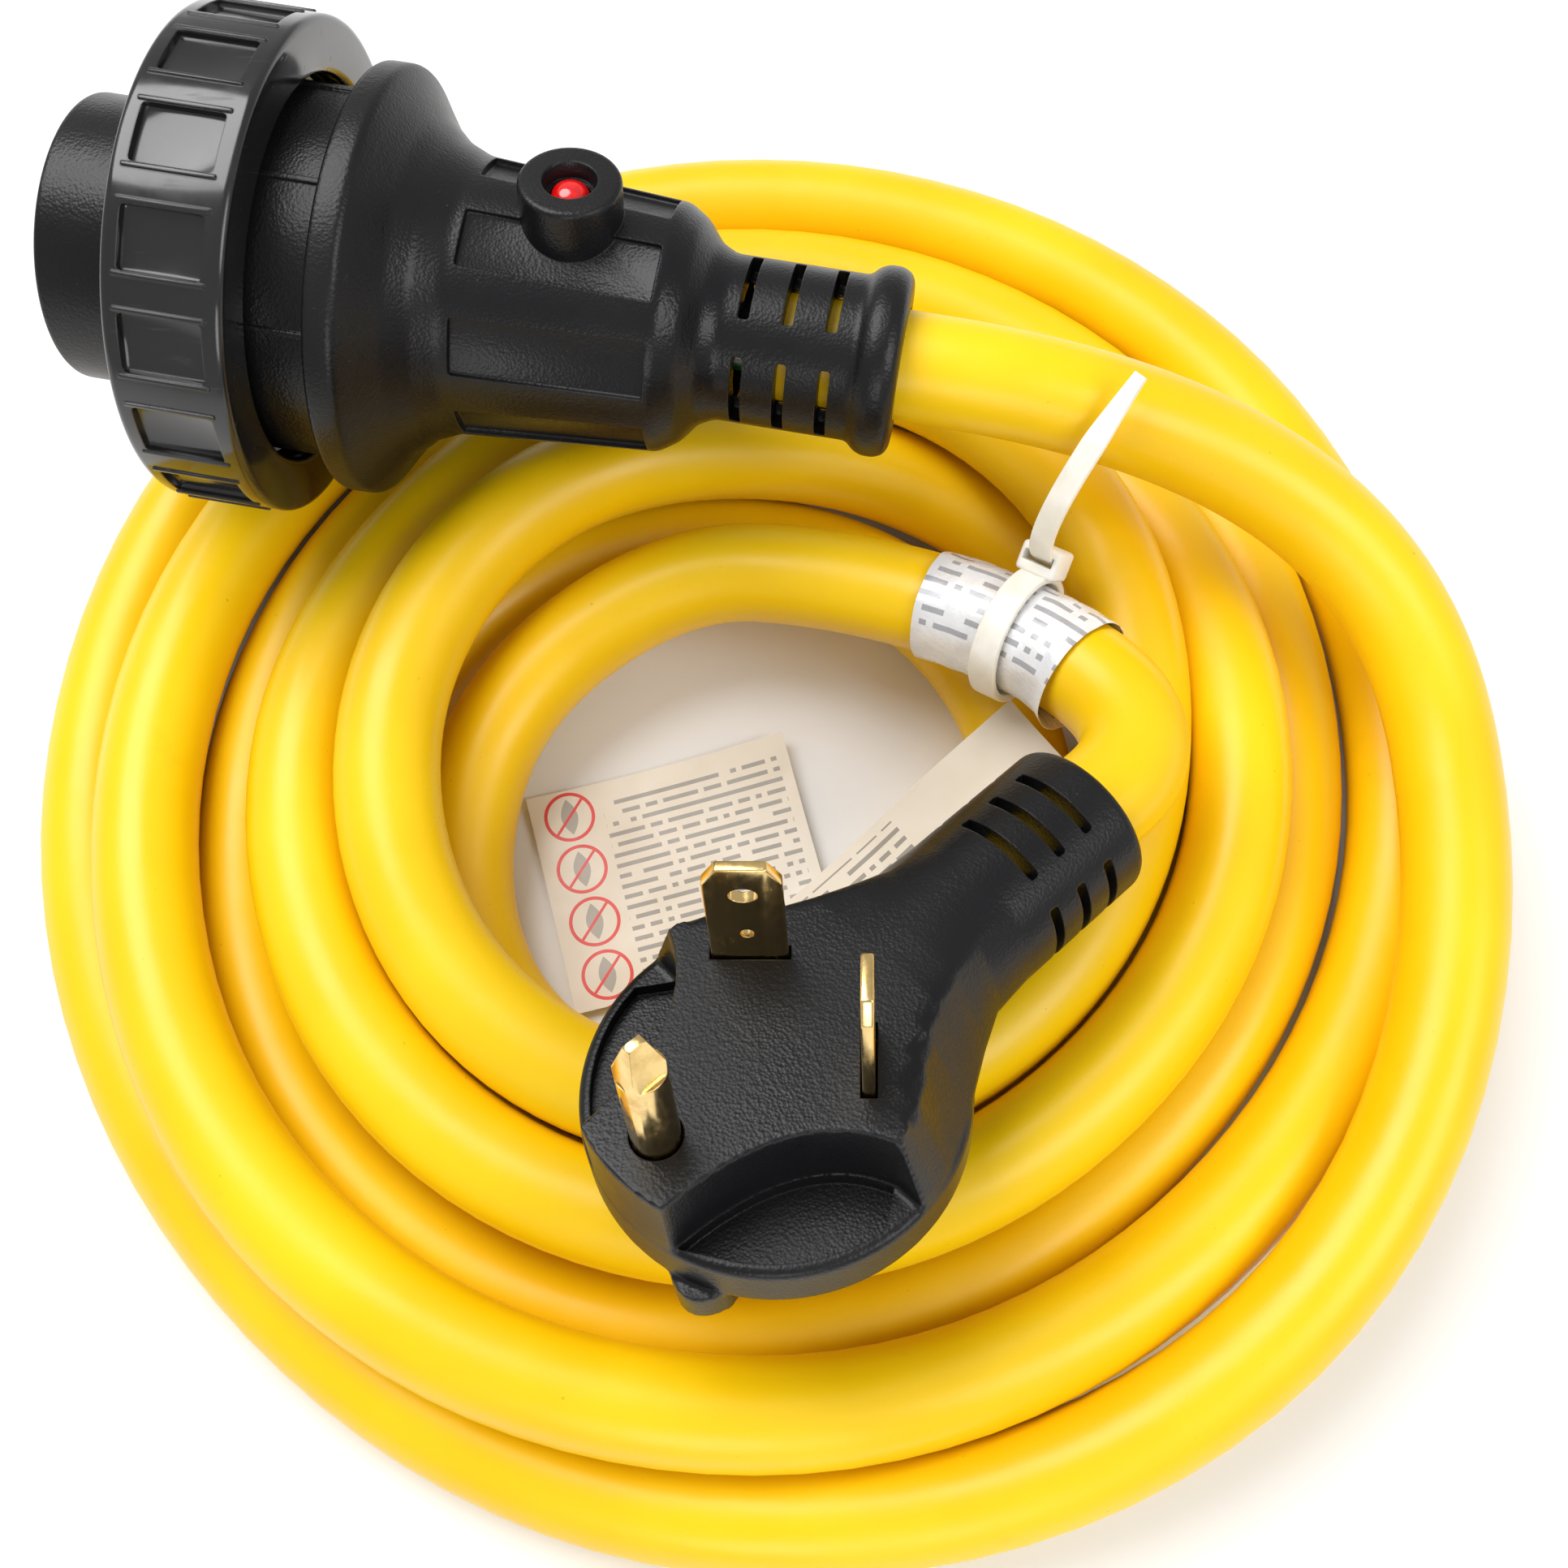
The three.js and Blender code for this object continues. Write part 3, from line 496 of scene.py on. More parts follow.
class Finish:
    """A node material with short ways to add and join nodes."""

    def __init__(self, name):
        self.material = bpy.data.materials.new(name)
        self.material.use_nodes = True
        self.nodes = self.material.node_tree.nodes
        self.links = self.material.node_tree.links
        self.shader = self.nodes["Principled BSDF"]

    def add(self, kind, inputs=None, **settings):
        node = self.nodes.new(kind)
        for key, value in settings.items():
            setattr(node, key, value)
        for key, value in (inputs or {}).items():
            self.feed(node, key, value)
        return node

    def feed(self, node, key, value):
        if hasattr(value, "is_output"):
            self.links.new(value, node.inputs[key])
        else:
            node.inputs[key].default_value = value

    def set(self, **inputs):
        for key, value in inputs.items():
            self.feed(self.shader, key.replace("_", " "), value)

    def place(self):
        return self.add("ShaderNodeTexCoord").outputs["Object"]

    def noise(self, scale, detail=3, rough=0.5, stretch=None):
        source = self.place()
        if stretch:
            mapping = self.add("ShaderNodeMapping", {"Vector": source, "Scale": stretch})
            source = mapping.outputs["Vector"]
        inputs = {"Vector": source, "Scale": scale, "Detail": detail, "Roughness": rough}
        return self.add("ShaderNodeTexNoise", inputs).outputs["Fac"]

    def math(self, operation, a, b=0.0, c=0.0):
        node = self.add("ShaderNodeMath", operation=operation)
        for index, value in enumerate((a, b, c)):
            self.feed(node, index, value)
        return node.outputs[0]

    def ranged(self, value, low, high, to_low=0.0, to_high=1.0):
        inputs = {"Value": value, "From Min": low, "From Max": high, "To Min": to_low, "To Max": to_high}
        return self.add("ShaderNodeMapRange", inputs).outputs["Result"]

    def mixed(self, share, first, second):
        node = self.add("ShaderNodeMix", data_type="RGBA")
        self.feed(node, "Factor", share)
        self.feed(node, 6, first)
        self.feed(node, 7, second)
        return node.outputs[2]

    def soft_edges(self, radius_mm):
        return self.add("ShaderNodeBevel", {"Radius": radius_mm * MM}, samples=4).outputs["Normal"]

    def bump(self, height, distance_mm, strength=1.0, normal=None):
        inputs = {"Height": height, "Distance": distance_mm * MM, "Strength": strength}
        if normal is not None:
            inputs["Normal"] = normal
        return self.add("ShaderNodeBump", inputs).outputs["Normal"]


def colour(r, g, b):
    return (r, g, b, 1.0)


def cord_vinyl():
    """Bright yellow jacket: soft sheen, faint flow lines and handling marks."""
    f = Finish("cord_vinyl")
    tone = f.ranged(f.noise(22, 3), 0.35, 0.65)
    base = f.mixed(tone, colour(0.9, 0.55, 0.001), colour(0.97, 0.63, 0.002))
    smudge = f.ranged(f.noise(60, 5, 0.65), 0.66, 0.8, 0.0, 0.35)
    base = f.mixed(smudge, base, colour(0.8, 0.43, 0.004))
    specks = f.ranged(f.noise(900, 2), 0.76, 0.8, 0.0, 0.5)
    base = f.mixed(specks, base, colour(0.45, 0.22, 0.01))
    rough = f.ranged(f.noise(45, 4), 0.3, 0.7, 0.3, 0.44)
    grain = f.bump(f.noise(2600, 2), 0.02, 0.5)
    waves = f.bump(f.noise(70, 2), 0.5, 0.35, grain)
    f.set(Base_Color=base, Roughness=rough, Normal=waves, IOR=1.46)
    f.set(Subsurface_Weight=0.06, Subsurface_Radius=(0.002, 0.001, 0.0002), Subsurface_Scale=0.3)
    return f.material


def moulded(name, dark, light, rough, grain_mm=0.045, grain_scale=2100, edge_mm=0.35):
    """Moulded black plastic or rubber: leathery grain, scuffed lighter edges, dust and uneven sheen."""
    f = Finish(name)
    soft = f.soft_edges(edge_mm)
    true_normal = f.add("ShaderNodeNewGeometry").outputs["Normal"]
    facing = f.add("ShaderNodeVectorMath", {0: soft, 1: true_normal}, operation="DOT_PRODUCT")
    edge = f.ranged(facing.outputs["Value"], 0.995, 0.93)
    cloud = f.ranged(f.noise(30, 4), 0.35, 0.65)
    base = f.mixed(cloud, dark, light)
    dust = f.ranged(f.noise(1300, 2), 0.74, 0.8, 0.0, 0.25)
    base = f.mixed(dust, base, colour(0.16, 0.16, 0.15))
    worn = f.math("MULTIPLY", edge, f.ranged(f.noise(160, 4), 0.4, 0.7, 0.1, 0.5))
    base = f.mixed(worn, base, colour(0.035, 0.035, 0.037))
    roughness = f.ranged(f.noise(55, 4), 0.3, 0.7, rough - 0.07, rough + 0.08)
    roughness = f.math("SUBTRACT", roughness, f.math("MULTIPLY", edge, 0.12))
    cells = f.add("ShaderNodeTexVoronoi", {"Vector": f.place(), "Scale": grain_scale})
    height = f.math("ADD", cells.outputs["Distance"], f.noise(grain_scale * 0.6, 2))
    f.set(Base_Color=base, Roughness=roughness, Normal=f.bump(height, grain_mm, 0.8, soft))
    f.set(Specular_IOR_Level=0.3)
    return f.material


def ring_gloss():
    """Glossy black ring: finger smears, hairline scratches and bright rounded edges."""
    f = Finish("ring_gloss")
    soft = f.soft_edges(0.4)
    cloud = f.ranged(f.noise(40, 3), 0.35, 0.65)
    base = f.mixed(cloud, colour(0.006, 0.006, 0.007), colour(0.012, 0.012, 0.013))
    scratch = f.ranged(f.noise(420, 3, 0.6, stretch=(0.15, 1, 1.6)), 0.64, 0.7)
    smear = f.ranged(f.noise(85, 5, 0.6), 0.4, 0.72, 0.1, 0.26)
    rough = f.math("ADD", smear, f.math("MULTIPLY", scratch, 0.16))
    base = f.mixed(f.math("MULTIPLY", scratch, 0.2), base, colour(0.05, 0.05, 0.05))
    dents = f.bump(f.noise(160, 3), 0.06, 0.3, soft)
    f.set(Base_Color=base, Roughness=rough, Normal=dents, Coat_Weight=0.35, Coat_Roughness=0.08)
    return f.material


def metal(name, bright, dull, rough):
    """Plated metal: drawn streaks, faint tarnish and soft edges."""
    f = Finish(name)
    soft = f.soft_edges(0.22)
    tarnish = f.ranged(f.noise(260, 5, 0.6), 0.45, 0.72)
    streaks = f.noise(1500, 3, stretch=(1, 1, 0.05))
    base = f.mixed(f.math("MULTIPLY", tarnish, 0.6), bright, dull)
    roughness = f.math("ADD", f.ranged(streaks, 0.3, 0.7, rough - 0.05, rough + 0.06),
                       f.math("MULTIPLY", tarnish, 0.12))
    f.set(Base_Color=base, Metallic=1.0, Roughness=roughness, Normal=f.bump(streaks, 0.01, 0.5, soft))
    return f.material


def lens_red():
    """Red indicator lens: clear gloss over a mottled, slightly glowing body."""
    f = Finish("lens_red")
    cells = f.add("ShaderNodeTexVoronoi", {"Vector": f.place(), "Scale": 1400})
    share = f.ranged(cells.outputs["Distance"], 0.0, 0.7)
    base = f.mixed(share, colour(0.85, 0.004, 0.002), colour(0.5, 0.002, 0.002))
    f.set(Base_Color=base, Roughness=f.ranged(f.noise(600, 2), 0.3, 0.7, 0.1, 0.2))
    f.set(Coat_Weight=0.8, Coat_Roughness=0.04, Emission_Color=colour(0.9, 0.0, 0.0), Emission_Strength=0.18)
    f.set(Normal=f.bump(cells.outputs["Distance"], 0.05, 0.3))
    return f.material


def nylon():
    """Natural nylon of the cable tie: milky, smooth and faintly uneven."""
    f = Finish("nylon")
    cloud = f.ranged(f.noise(200, 3), 0.35, 0.65)
    base = f.mixed(cloud, colour(0.8, 0.77, 0.68), colour(0.9, 0.88, 0.82))
    rough = f.ranged(f.noise(500, 3), 0.3, 0.7, 0.28, 0.42)
    f.set(Base_Color=base, Roughness=rough, Normal=f.bump(f.noise(900, 2), 0.02, 0.5, f.soft_edges(0.2)))
    f.set(Subsurface_Weight=0.35, Subsurface_Radius=(0.002, 0.002, 0.0015), Subsurface_Scale=0.5)
    return f.material


def insulation(name, dark, light):
    """The coloured skin of one conductor, with talc dust and drawn lines."""
    f = Finish(name)
    base = f.mixed(f.ranged(f.noise(120, 3), 0.35, 0.65), dark, light)
    talc = f.ranged(f.noise(700, 4), 0.62, 0.75, 0.0, 0.3)
    base = f.mixed(talc, base, colour(0.7, 0.7, 0.68))
    rough = f.ranged(talc, 0.0, 0.3, 0.35, 0.6)
    f.set(Base_Color=base, Roughness=rough, Normal=f.bump(f.noise(1800, 2), 0.02, 0.5))
    return f.material


def printed_bars(f, along, across, pitch, left, right, top, bottom, dense=0.22):
    """Rows of plain grey bars that stand for print: 1 on a bar and 0 elsewhere."""
    row = f.math("LESS_THAN", f.math("FRACT", f.math("DIVIDE", across, pitch)), 0.4)
    line = f.math("FLOOR", f.math("DIVIDE", across, pitch))
    letter = f.math("FLOOR", f.math("DIVIDE", along, pitch * 0.55))
    spot = f.add("ShaderNodeCombineXYZ", {"X": letter, "Y": line}).outputs["Vector"]
    chance = f.add("ShaderNodeTexWhiteNoise", {"Vector": spot}, noise_dimensions="2D").outputs["Value"]
    ink = f.math("MULTIPLY", row, f.math("GREATER_THAN", chance, dense))
    for value, low, high in ((along, left, right), (across, top, bottom)):
        ink = f.math("MULTIPLY", ink, f.math("GREATER_THAN", value, low))
        ink = f.math("MULTIPLY", ink, f.math("LESS_THAN", value, high))
    return ink


def sheet_coordinates(f, across_unit=UV_MM):
    """Millimetres along and across a sheet, from its own UVs."""
    uv = f.add("ShaderNodeUVMap", uv_map="Along").outputs["UV"]
    parts = f.add("ShaderNodeSeparateXYZ", {"Vector": uv})
    along = f.math("MULTIPLY", parts.outputs["X"], UV_MM)
    across = f.math("MULTIPLY", parts.outputs["Y"], across_unit)
    return along, across


def tag_sheet(name, print_area, ring_column=None):
    """White tag film in cream tones that are painted shade: fine print as bars and, on one panel, a column of
    plain crossed-out circles.

    The print area is its left, right, top and bottom; the column is its place, pitch and radius.
    """
    f = Finish(name)
    along, across = sheet_coordinates(f)
    cloud = f.ranged(f.noise(35, 4), 0.35, 0.65)
    # The cream tones, lighter and darker at random, are painted shade on the white film.
    base = f.mixed(cloud, colour(0.72, 0.64, 0.52), colour(0.84, 0.78, 0.68))
    ink = printed_bars(f, along, across, 1.9, *print_area)
    base = f.mixed(f.math("MULTIPLY", ink, 0.62), base, colour(0.06, 0.06, 0.06))
    if ring_column:
        column, pitch, radius = ring_column
        x = f.math("SUBTRACT", along, column)
        row = f.math("FRACT", f.math("DIVIDE", across, pitch))
        y = f.math("MULTIPLY", f.math("SUBTRACT", row, 0.5), pitch)
        reach = f.math("SQRT", f.math("ADD", f.math("MULTIPLY", x, x), f.math("MULTIPLY", y, y)))
        rim = f.math("COMPARE", reach, radius, 0.3)
        bar = f.math("COMPARE", f.math("ADD", x, y), 0.0, 0.35)
        bar = f.math("MULTIPLY", bar, f.math("LESS_THAN", reach, radius))
        blot = f.math("ADD", f.math("ABSOLUTE", x), f.math("MULTIPLY", reach, 0.8))
        figure = f.math("LESS_THAN", blot, 2.6)
        base = f.mixed(f.math("MULTIPLY", figure, 0.55), base, colour(0.1, 0.1, 0.1))
        base = f.mixed(f.math("MAXIMUM", rim, bar), base, colour(0.75, 0.03, 0.01))
    rough = f.ranged(f.noise(90, 3), 0.3, 0.7, 0.26, 0.42)
    creases = f.bump(f.noise(55, 3, 0.6), 0.6, 0.5)
    f.set(Base_Color=base, Roughness=rough, Normal=f.bump(f.noise(2500, 2), 0.01, 0.4, creases))
    return f.material


def label_film():
    """White film wrapped round the cord: fine wrinkles, silvery sheen and rows of plain bars."""
    f = Finish("label_film")
    along, around = sheet_coordinates(f, LABEL_AROUND)
    base = f.mixed(f.ranged(f.noise(60, 4), 0.35, 0.65), colour(0.72, 0.74, 0.78), colour(0.88, 0.89, 0.9))
    ink = printed_bars(f, along, around, 2.4, 0.0, 4000.0, 6.0, 52.0, 0.45)
    base = f.mixed(f.math("MULTIPLY", ink, 0.6), base, colour(0.12, 0.12, 0.14))
    wrinkles = f.noise(320, 4, 0.6, stretch=(1, 1, 2.5))
    rough = f.ranged(wrinkles, 0.3, 0.7, 0.2, 0.4)
    f.set(Base_Color=base, Metallic=0.15, Roughness=rough, Normal=f.bump(wrinkles, 0.25, 0.5))
    return f.material


# ---------------- the cord


def cord_section(run):
    return circle(CORD_R, CORD_SIDES)


def add_cord(vinyl):
    """The whole cord in three lengths: the coil, and a short length into each boot."""
    rings = rings_along(cord_points())
    total = rings[-1][3]
    reach = CORD_IN_BOOT + FLEX_CORD_SIDE
    first = next(i for i, ring in enumerate(rings) if ring[3] > reach)
    last = next(i for i, ring in enumerate(rings) if ring[3] > total - reach)
    coil = keep_piece(swept("coil", rings[first: last + 1], cord_section), "cord_coil", vinyl)
    stand_in(coil, "cord", "cord_jacket")
    ends = [
        ("connector", rings[: first + 1], CONNECTOR_SEAM, CONNECTOR_OUT),
        ("plug", rings[last:], PLUG_SEAM, PLUG_OUT),
    ]
    for body, part, seam, out in ends:
        name = f"{body}_cord"
        piece = keep_piece(swept(name, part, cord_section), name, vinyl)
        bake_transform(piece)
        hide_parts(f"{body}_end_jacket")


# ---------------- socket connector


def connector_profile():
    """The housing's outline as (x, radius) points, from the barrel's mouth to the boot's and back inside."""
    barrel = [(0, SOCKET_R), (0, BARREL_R), (24, BARREL_R), (24, 30), (27, 30), (27, BODY_R), (44, BODY_R)]
    neck = [(44, FLANGE_R), (48.4, FLANGE_R), (50.5, 28.8), (53, 25.2), (56, 22.5), (60, 20.8)]
    grip = [(91, 18.6), (94, 16.7), (96.5, 13.6), (99, CONNECTOR_BOOT_R), (119.4, CONNECTOR_BOOT_R)]
    collar = [(120.6, 13.6), (122, 14.2), (124, 14.2), (125.4, 13.5), (CONNECTOR_LENGTH, 12.3)]
    mouth = (CONNECTOR_LENGTH, CORD_HOLE_R)
    inside = [(54, CORD_HOLE_R), (46, SOCKET_R), (0, SOCKET_R)]
    return softened(barrel + neck + grip + collar + [mouth], 0.9, 4)[:-1] + [mouth] + inside


def connector_panels():
    """What is cut from the grip: eight shallow panels that run out at the neck."""
    pitch = 360 / GRIP_PANELS
    lean = shift(62, 0, 20) @ about("Y", 4) @ shift(-62, 0, -20)
    panels = []
    for i in range(GRIP_PANELS):
        panel = rounded_box(61.5, 90, -4.4, 4.4, 19.2, 26, 0.5)
        panels.append(moved(panel, about("X", pitch / 2 + pitch * i) @ lean))
    return panels


def boot_slots(places, centre):
    """Slots round a boot, one in each quarter at every place along it, that show the cord inside."""
    slots = []
    for x in places:
        for quarter in range(4):
            slot = rounded_box(x - 0.85, x + 0.85, -6.6, 6.6, 7.6, 15, 0.4)
            slots.append(moved(slot, centre @ about("X", 90 * quarter)))
    return slots


def connector_ribs():
    """The low ribs that run along the body behind the coupling ring."""
    ribs = []
    for turn in (20, 65, 155, 200, 245, 335):
        rib = rounded_box(26, 44.5, -0.45, 0.45, BODY_R - 1, BODY_R + 0.5, 0.2)
        ribs.append(moved(rib, about("X", turn)))
    return ribs


def boss_frame():
    """The lamp boss stands on the grip, with its own X pointing out."""
    return shift(BOSS_X, 0, 0) @ about("Y", -90)


def add_connector(black):
    body = revolve("body", connector_profile(), 128)
    body = combined(body, connector_panels(), "DIFFERENCE")
    boss_profile = softened([(12, 0), (12, BOSS_R), (BOSS_TOP, BOSS_R), (BOSS_TOP, 0)], 0.9, 4)
    boss = moved(revolve("boss", boss_profile, 64), boss_frame())
    body = combined(body, [boss] + connector_ribs(), "UNION")
    recess = revolve("recess", [(22.4, 0), (22.4, 3.6), (24.4, 3.7), (26, 4.6), (26, 0)], 48)
    lamp_hole = rod(11, 23, LENS_R + GAP)
    slots = boot_slots((102.5, 109, 115.5), Matrix.Identity(4))
    cutters = [moved(recess, boss_frame()), moved(lamp_hole, boss_frame())] + slots
    body = combined(body, cutters, "DIFFERENCE")
    keep_piece(body, "connector_shell", black, CONNECTOR, 32)
    stand_in(body, "connector", "connector_housing")


def add_lens(red):
    profile = [(LENS_TOP, 0)]
    for k in range(1, 11):
        angle = math.pi / 2 * k / 10
        profile.append((LENS_TOP - LENS_CROWN * (1 - math.cos(angle)), LENS_R * math.sin(angle)))
    profile += [(20.2, LENS_R), (20.2, 0)]
    lens = keep_piece(revolve("lens", profile, 48), "indicator_dome", red, CONNECTOR @ boss_frame(), 50)
    stand_in(lens, "connector", "indicator_lens")


def add_coupling_ring(gloss):
    x0 = RING_X
    x1 = RING_X + RING_WIDTH
    lip_x = x1 - RING_LIP
    outside = [(x0, RING_BORE_R), (x0, RING_R), (x1, RING_R), (x1, RING_LIP_R), (lip_x, RING_LIP_R),
               (lip_x, RING_BORE_R)]
    thread = []
    for i in range(THREADS):
        x = x0 + 9.6 - THREAD_PITCH * i
        thread += [(x, RING_BORE_R), (x - 0.8, RING_BORE_R - THREAD_DEPTH), (x - 1.6, RING_BORE_R)]
    profile = softened(outside, 1.1, 4)[:-1] + [outside[-1]] + thread + [outside[0]]
    profile[0] = profile[-1]
    ring = revolve("ring", profile, 160)
    pockets = []
    lips = []
    for i in range(RING_PADS):
        turn = about("X", 360 / RING_PADS * i)
        pockets.append(moved(rounded_box(x0 + 2.6, x1 - 3, -4.4, 4.4, RING_R - 1.5, RING_R + 2, 0.6), turn))
        for y in (-4.9, 4.9):
            lip = rounded_box(x0 + 1.8, x1 - 2.4, y - 0.35, y + 0.35, RING_R - 2, RING_R - 0.02, 0.2)
            lips.append(moved(lip, turn))
    ring = combined(ring, pockets, "DIFFERENCE")
    ring = combined(ring, lips, "UNION")
    keep_piece(ring, "ring_shell", gloss, CONNECTOR, 32)
    stand_in(ring, "coupling_ring", "coupling_ring")


def add_seal(rubber):
    x1 = RING_X + RING_WIDTH - RING_LIP - GAP
    x0 = x1 - 1.8
    profile = softened([(x0, 28.6), (x0, 32.6), (x1, 32.6), (x1, 28.6), (x0, 28.6)], 0.5)
    seal = keep_piece(revolve("seal", profile, 96), "ring_seal_soft", rubber, CONNECTOR, 40)
    stand_in(seal, "ring_seal", "ring_seal")


# ---------------- plug


def polygon_reach(corners, centre_z, angle):
    """How far a ray from (0, centre_z) goes before it meets a closed outline of (y, z) corners."""
    ray = Vector((math.cos(angle), math.sin(angle)))
    best = 0
    for i, corner in enumerate(corners):
        a = Vector(corner) - Vector((0, centre_z))
        b = Vector(corners[(i + 1) % len(corners)]) - Vector((0, centre_z))
        edge = b - a
        cross = ray.x * edge.y - ray.y * edge.x
        if abs(cross) < 1e-9:
            continue
        t = (a.x * edge.y - a.y * edge.x) / cross
        s = (a.x * ray.y - a.y * ray.x) / cross
        if t > 0 and -1e-6 <= s <= 1 + 1e-6:
            best = max(best, t)
    return best


def plug_neck():
    """The flanks of the plug, lofted from its wide face to the round boot."""
    # At each place along the plug: half its width at the face, and half its width at the disc.
    stations = [(SHOULDER_X, SHOULDER_HALF, 26.3), (4, 20.9, 26.0), (7, 19.4, 25.2), (11, 16.2, 23.4),
                (15, 13.3, 21.2), (19, 11.3, 18.9), (24, 9.8, 16.6), (30, 9, 14.2),
                (PLUG_BOOT_START, 8.6, PLUG_BOOT_R), (42, 8.6, PLUG_BOOT_R)]
    centre_z = -11.6
    round_from = 20
    round_over = 16
    count = 96
    vertices = []
    for x, face, base in stations:
        corners = [(face, 0), (base, DISC_TOP), (base - 1.2, DISC_BOTTOM), (1.2 - base, DISC_BOTTOM),
                   (-base, DISC_TOP), (-face, 0)]
        share = min(max((x - round_from) / round_over, 0), 1)
        share = share * share * (3 - 2 * share)
        for k in range(count):
            angle = 2 * math.pi * k / count
            flat = polygon_reach(corners, centre_z, angle)
            reach = flat * (1 - share) + PLUG_BOOT_R * share
            z = centre_z * (1 - share) + PLUG_BOOT_Z * share
            vertices.append((x, reach * math.cos(angle), z + reach * math.sin(angle)))
    faces = [tuple(reversed(range(count)))]
    for i in range(len(stations) - 1):
        for k in range(count):
            n = (k + 1) % count
            faces.append((i * count + k, i * count + n, (i + 1) * count + n, (i + 1) * count + k))
    last = (len(stations) - 1) * count
    faces.append(tuple(last + k for k in range(count)))
    return clean(new_object("neck", vertices, faces))


def curve_points(start, control, end, steps=14):
    """Points of a quadratic curve, without its start."""
    points = []
    for k in range(1, steps + 1):
        t = k / steps
        u = 1 - t
        points.append(tuple(u * u * a + 2 * u * t * b + t * t * c for a, b, c in zip(start, control, end)))
    return points


def nose_outline():
    """The raised face: its round tip, a hollow curve out to each shoulder, and its end in the neck."""
    radius = DISC_R - 0.12
    half = math.atan2(NOSE_TIP_HALF, -NOSE_TIP_X)
    points = [(4, 0.4 - SHOULDER_HALF), (SHOULDER_X, -SHOULDER_HALF)]
    points += curve_points(points[-1], (-3.7, -8.4), (NOSE_TIP_X, -NOSE_TIP_HALF))
    for k in range(1, 12):
        angle = -math.pi + half * (1 - k / 6)
        points.append((radius * math.cos(angle), radius * math.sin(angle)))
    points += [(NOSE_TIP_X, NOSE_TIP_HALF)]
    points += curve_points(points[-1], (-3.7, 8.4), (SHOULDER_X, SHOULDER_HALF))
    points += [(4, SHOULDER_HALF - 0.4)]
    return points


def finger_scoops():
    """The hollow beside the nose on each side: the nose's own curve and an arc inside the disc's rim."""
    rim = 24.9
    depth = 2.2
    scoops = []
    for side in (-1, 1):
        outline = [(-24.4, side * 8.1)]
        outline += curve_points(outline[0], (-3.9, side * 8.8), (0.9, side * 21.4), 12)
        for k in range(1, 10):
            angle = math.radians(92 + 66 * k / 10)
            outline.append((rim * math.cos(angle), side * rim * math.sin(angle)))
        anticlockwise = outline if side > 0 else outline[::-1]
        scoops.append(raised("scoop", anticlockwise, DISC_TOP - depth, DISC_TOP + 4))
    return scoops


def blade_place(name):
    x, y = BLADE_PLACES[name]
    return shift(x, y, 0) @ about("Z", -45 if y > 0 else 45)


def pin_frame():
    """The ground pin stands on the plug's face, with its own X pointing out."""
    return shift(PIN_X, 0, 0) @ about("Y", -90)


def blade_slot(name):
    half = BLADE_WIDTH / 2 + GAP
    thick = BLADE_THICKNESS / 2 + GAP
    return moved(rounded_box(-half, half, -thick, thick, -12, 3, 0.1), blade_place(name))


def plug_cavity():
    """The rooms inside the plug, from the pin back to the boot, as (x0, x1, half width, top)."""
    floor = -20.4
    rooms = [(-23.3, 3, 4.9, -4.2), (1.2, 12.6, 16.1, -4.2), (12, 22, 14.2, -9), (21, 34, 9.6, -7)]
    return [rounded_box(x0, x1, -half, half, floor, top) for x0, x1, half, top in rooms]


def plug_solid():
    """The disc, nose, neck, under grip and boot, melted into one moulding."""
    disc_outline = [(DISC_BOTTOM, 0), (DISC_BOTTOM, DISC_R), (DISC_TOP, DISC_R), (DISC_TOP, 0)]
    disc = moved(revolve("disc", softened(disc_outline, 1.3, 4), 128), about("Y", -90))
    nose = raised("nose", nose_outline(), DISC_TOP - 3, 0)
    grip_outline = [(-4, 14), (-24, -4)] + curve_points((-24, -4), (-30, -12), (-22, -14), 8) + [(2, -10)]
    grip = raised("grip", grip_outline, DISC_BOTTOM - 5, DISC_BOTTOM + 1)
    boot_outline = [(30, 0), (30, 11.4), (PLUG_BOOT_START, PLUG_BOOT_R), (PLUG_BOOT_END, PLUG_BOOT_R),
                    (PLUG_BOOT_END, 0)]
    boot = moved(revolve("boot", softened(boot_outline, 1.4, 4), 96), shift(0, 0, PLUG_BOOT_Z))
    return fused(joined("shell", [disc, nose, plug_neck(), grip, boot]), 0.42, 3)


def add_plug(black):
    shell = plug_solid()
    centre = shift(0, 0, PLUG_BOOT_Z)
    bore = moved(rod(31, PLUG_BOOT_END + 1, CORD_HOLE_R), centre)
    pin_hole = moved(rod(-6, 3, PIN_R + GAP), pin_frame())
    cutters = [bore, pin_hole] + plug_cavity() + finger_scoops()
    cutters += [blade_slot(name) for name in BLADE_PLACES]
    cutters += boot_slots((43, 48.5, 54), centre)
    shell = combined(shell, cutters, "DIFFERENCE")
    keep_piece(shell, "plug_shell", black, PLUG, 35)
    stand_in(shell, "plug", "plug_housing")


def wire_cup(x, y):
    """The round terminal behind a blade or the pin, and the bore in it for its wire."""
    place = shift(x, y, TERMINAL_Z)
    cup = moved(rod(0, CUP_LENGTH, CUP_R), place)
    bore = moved(rod(1.5, CUP_LENGTH + 0.5, CUP_BORE_R), place)
    return cup, bore


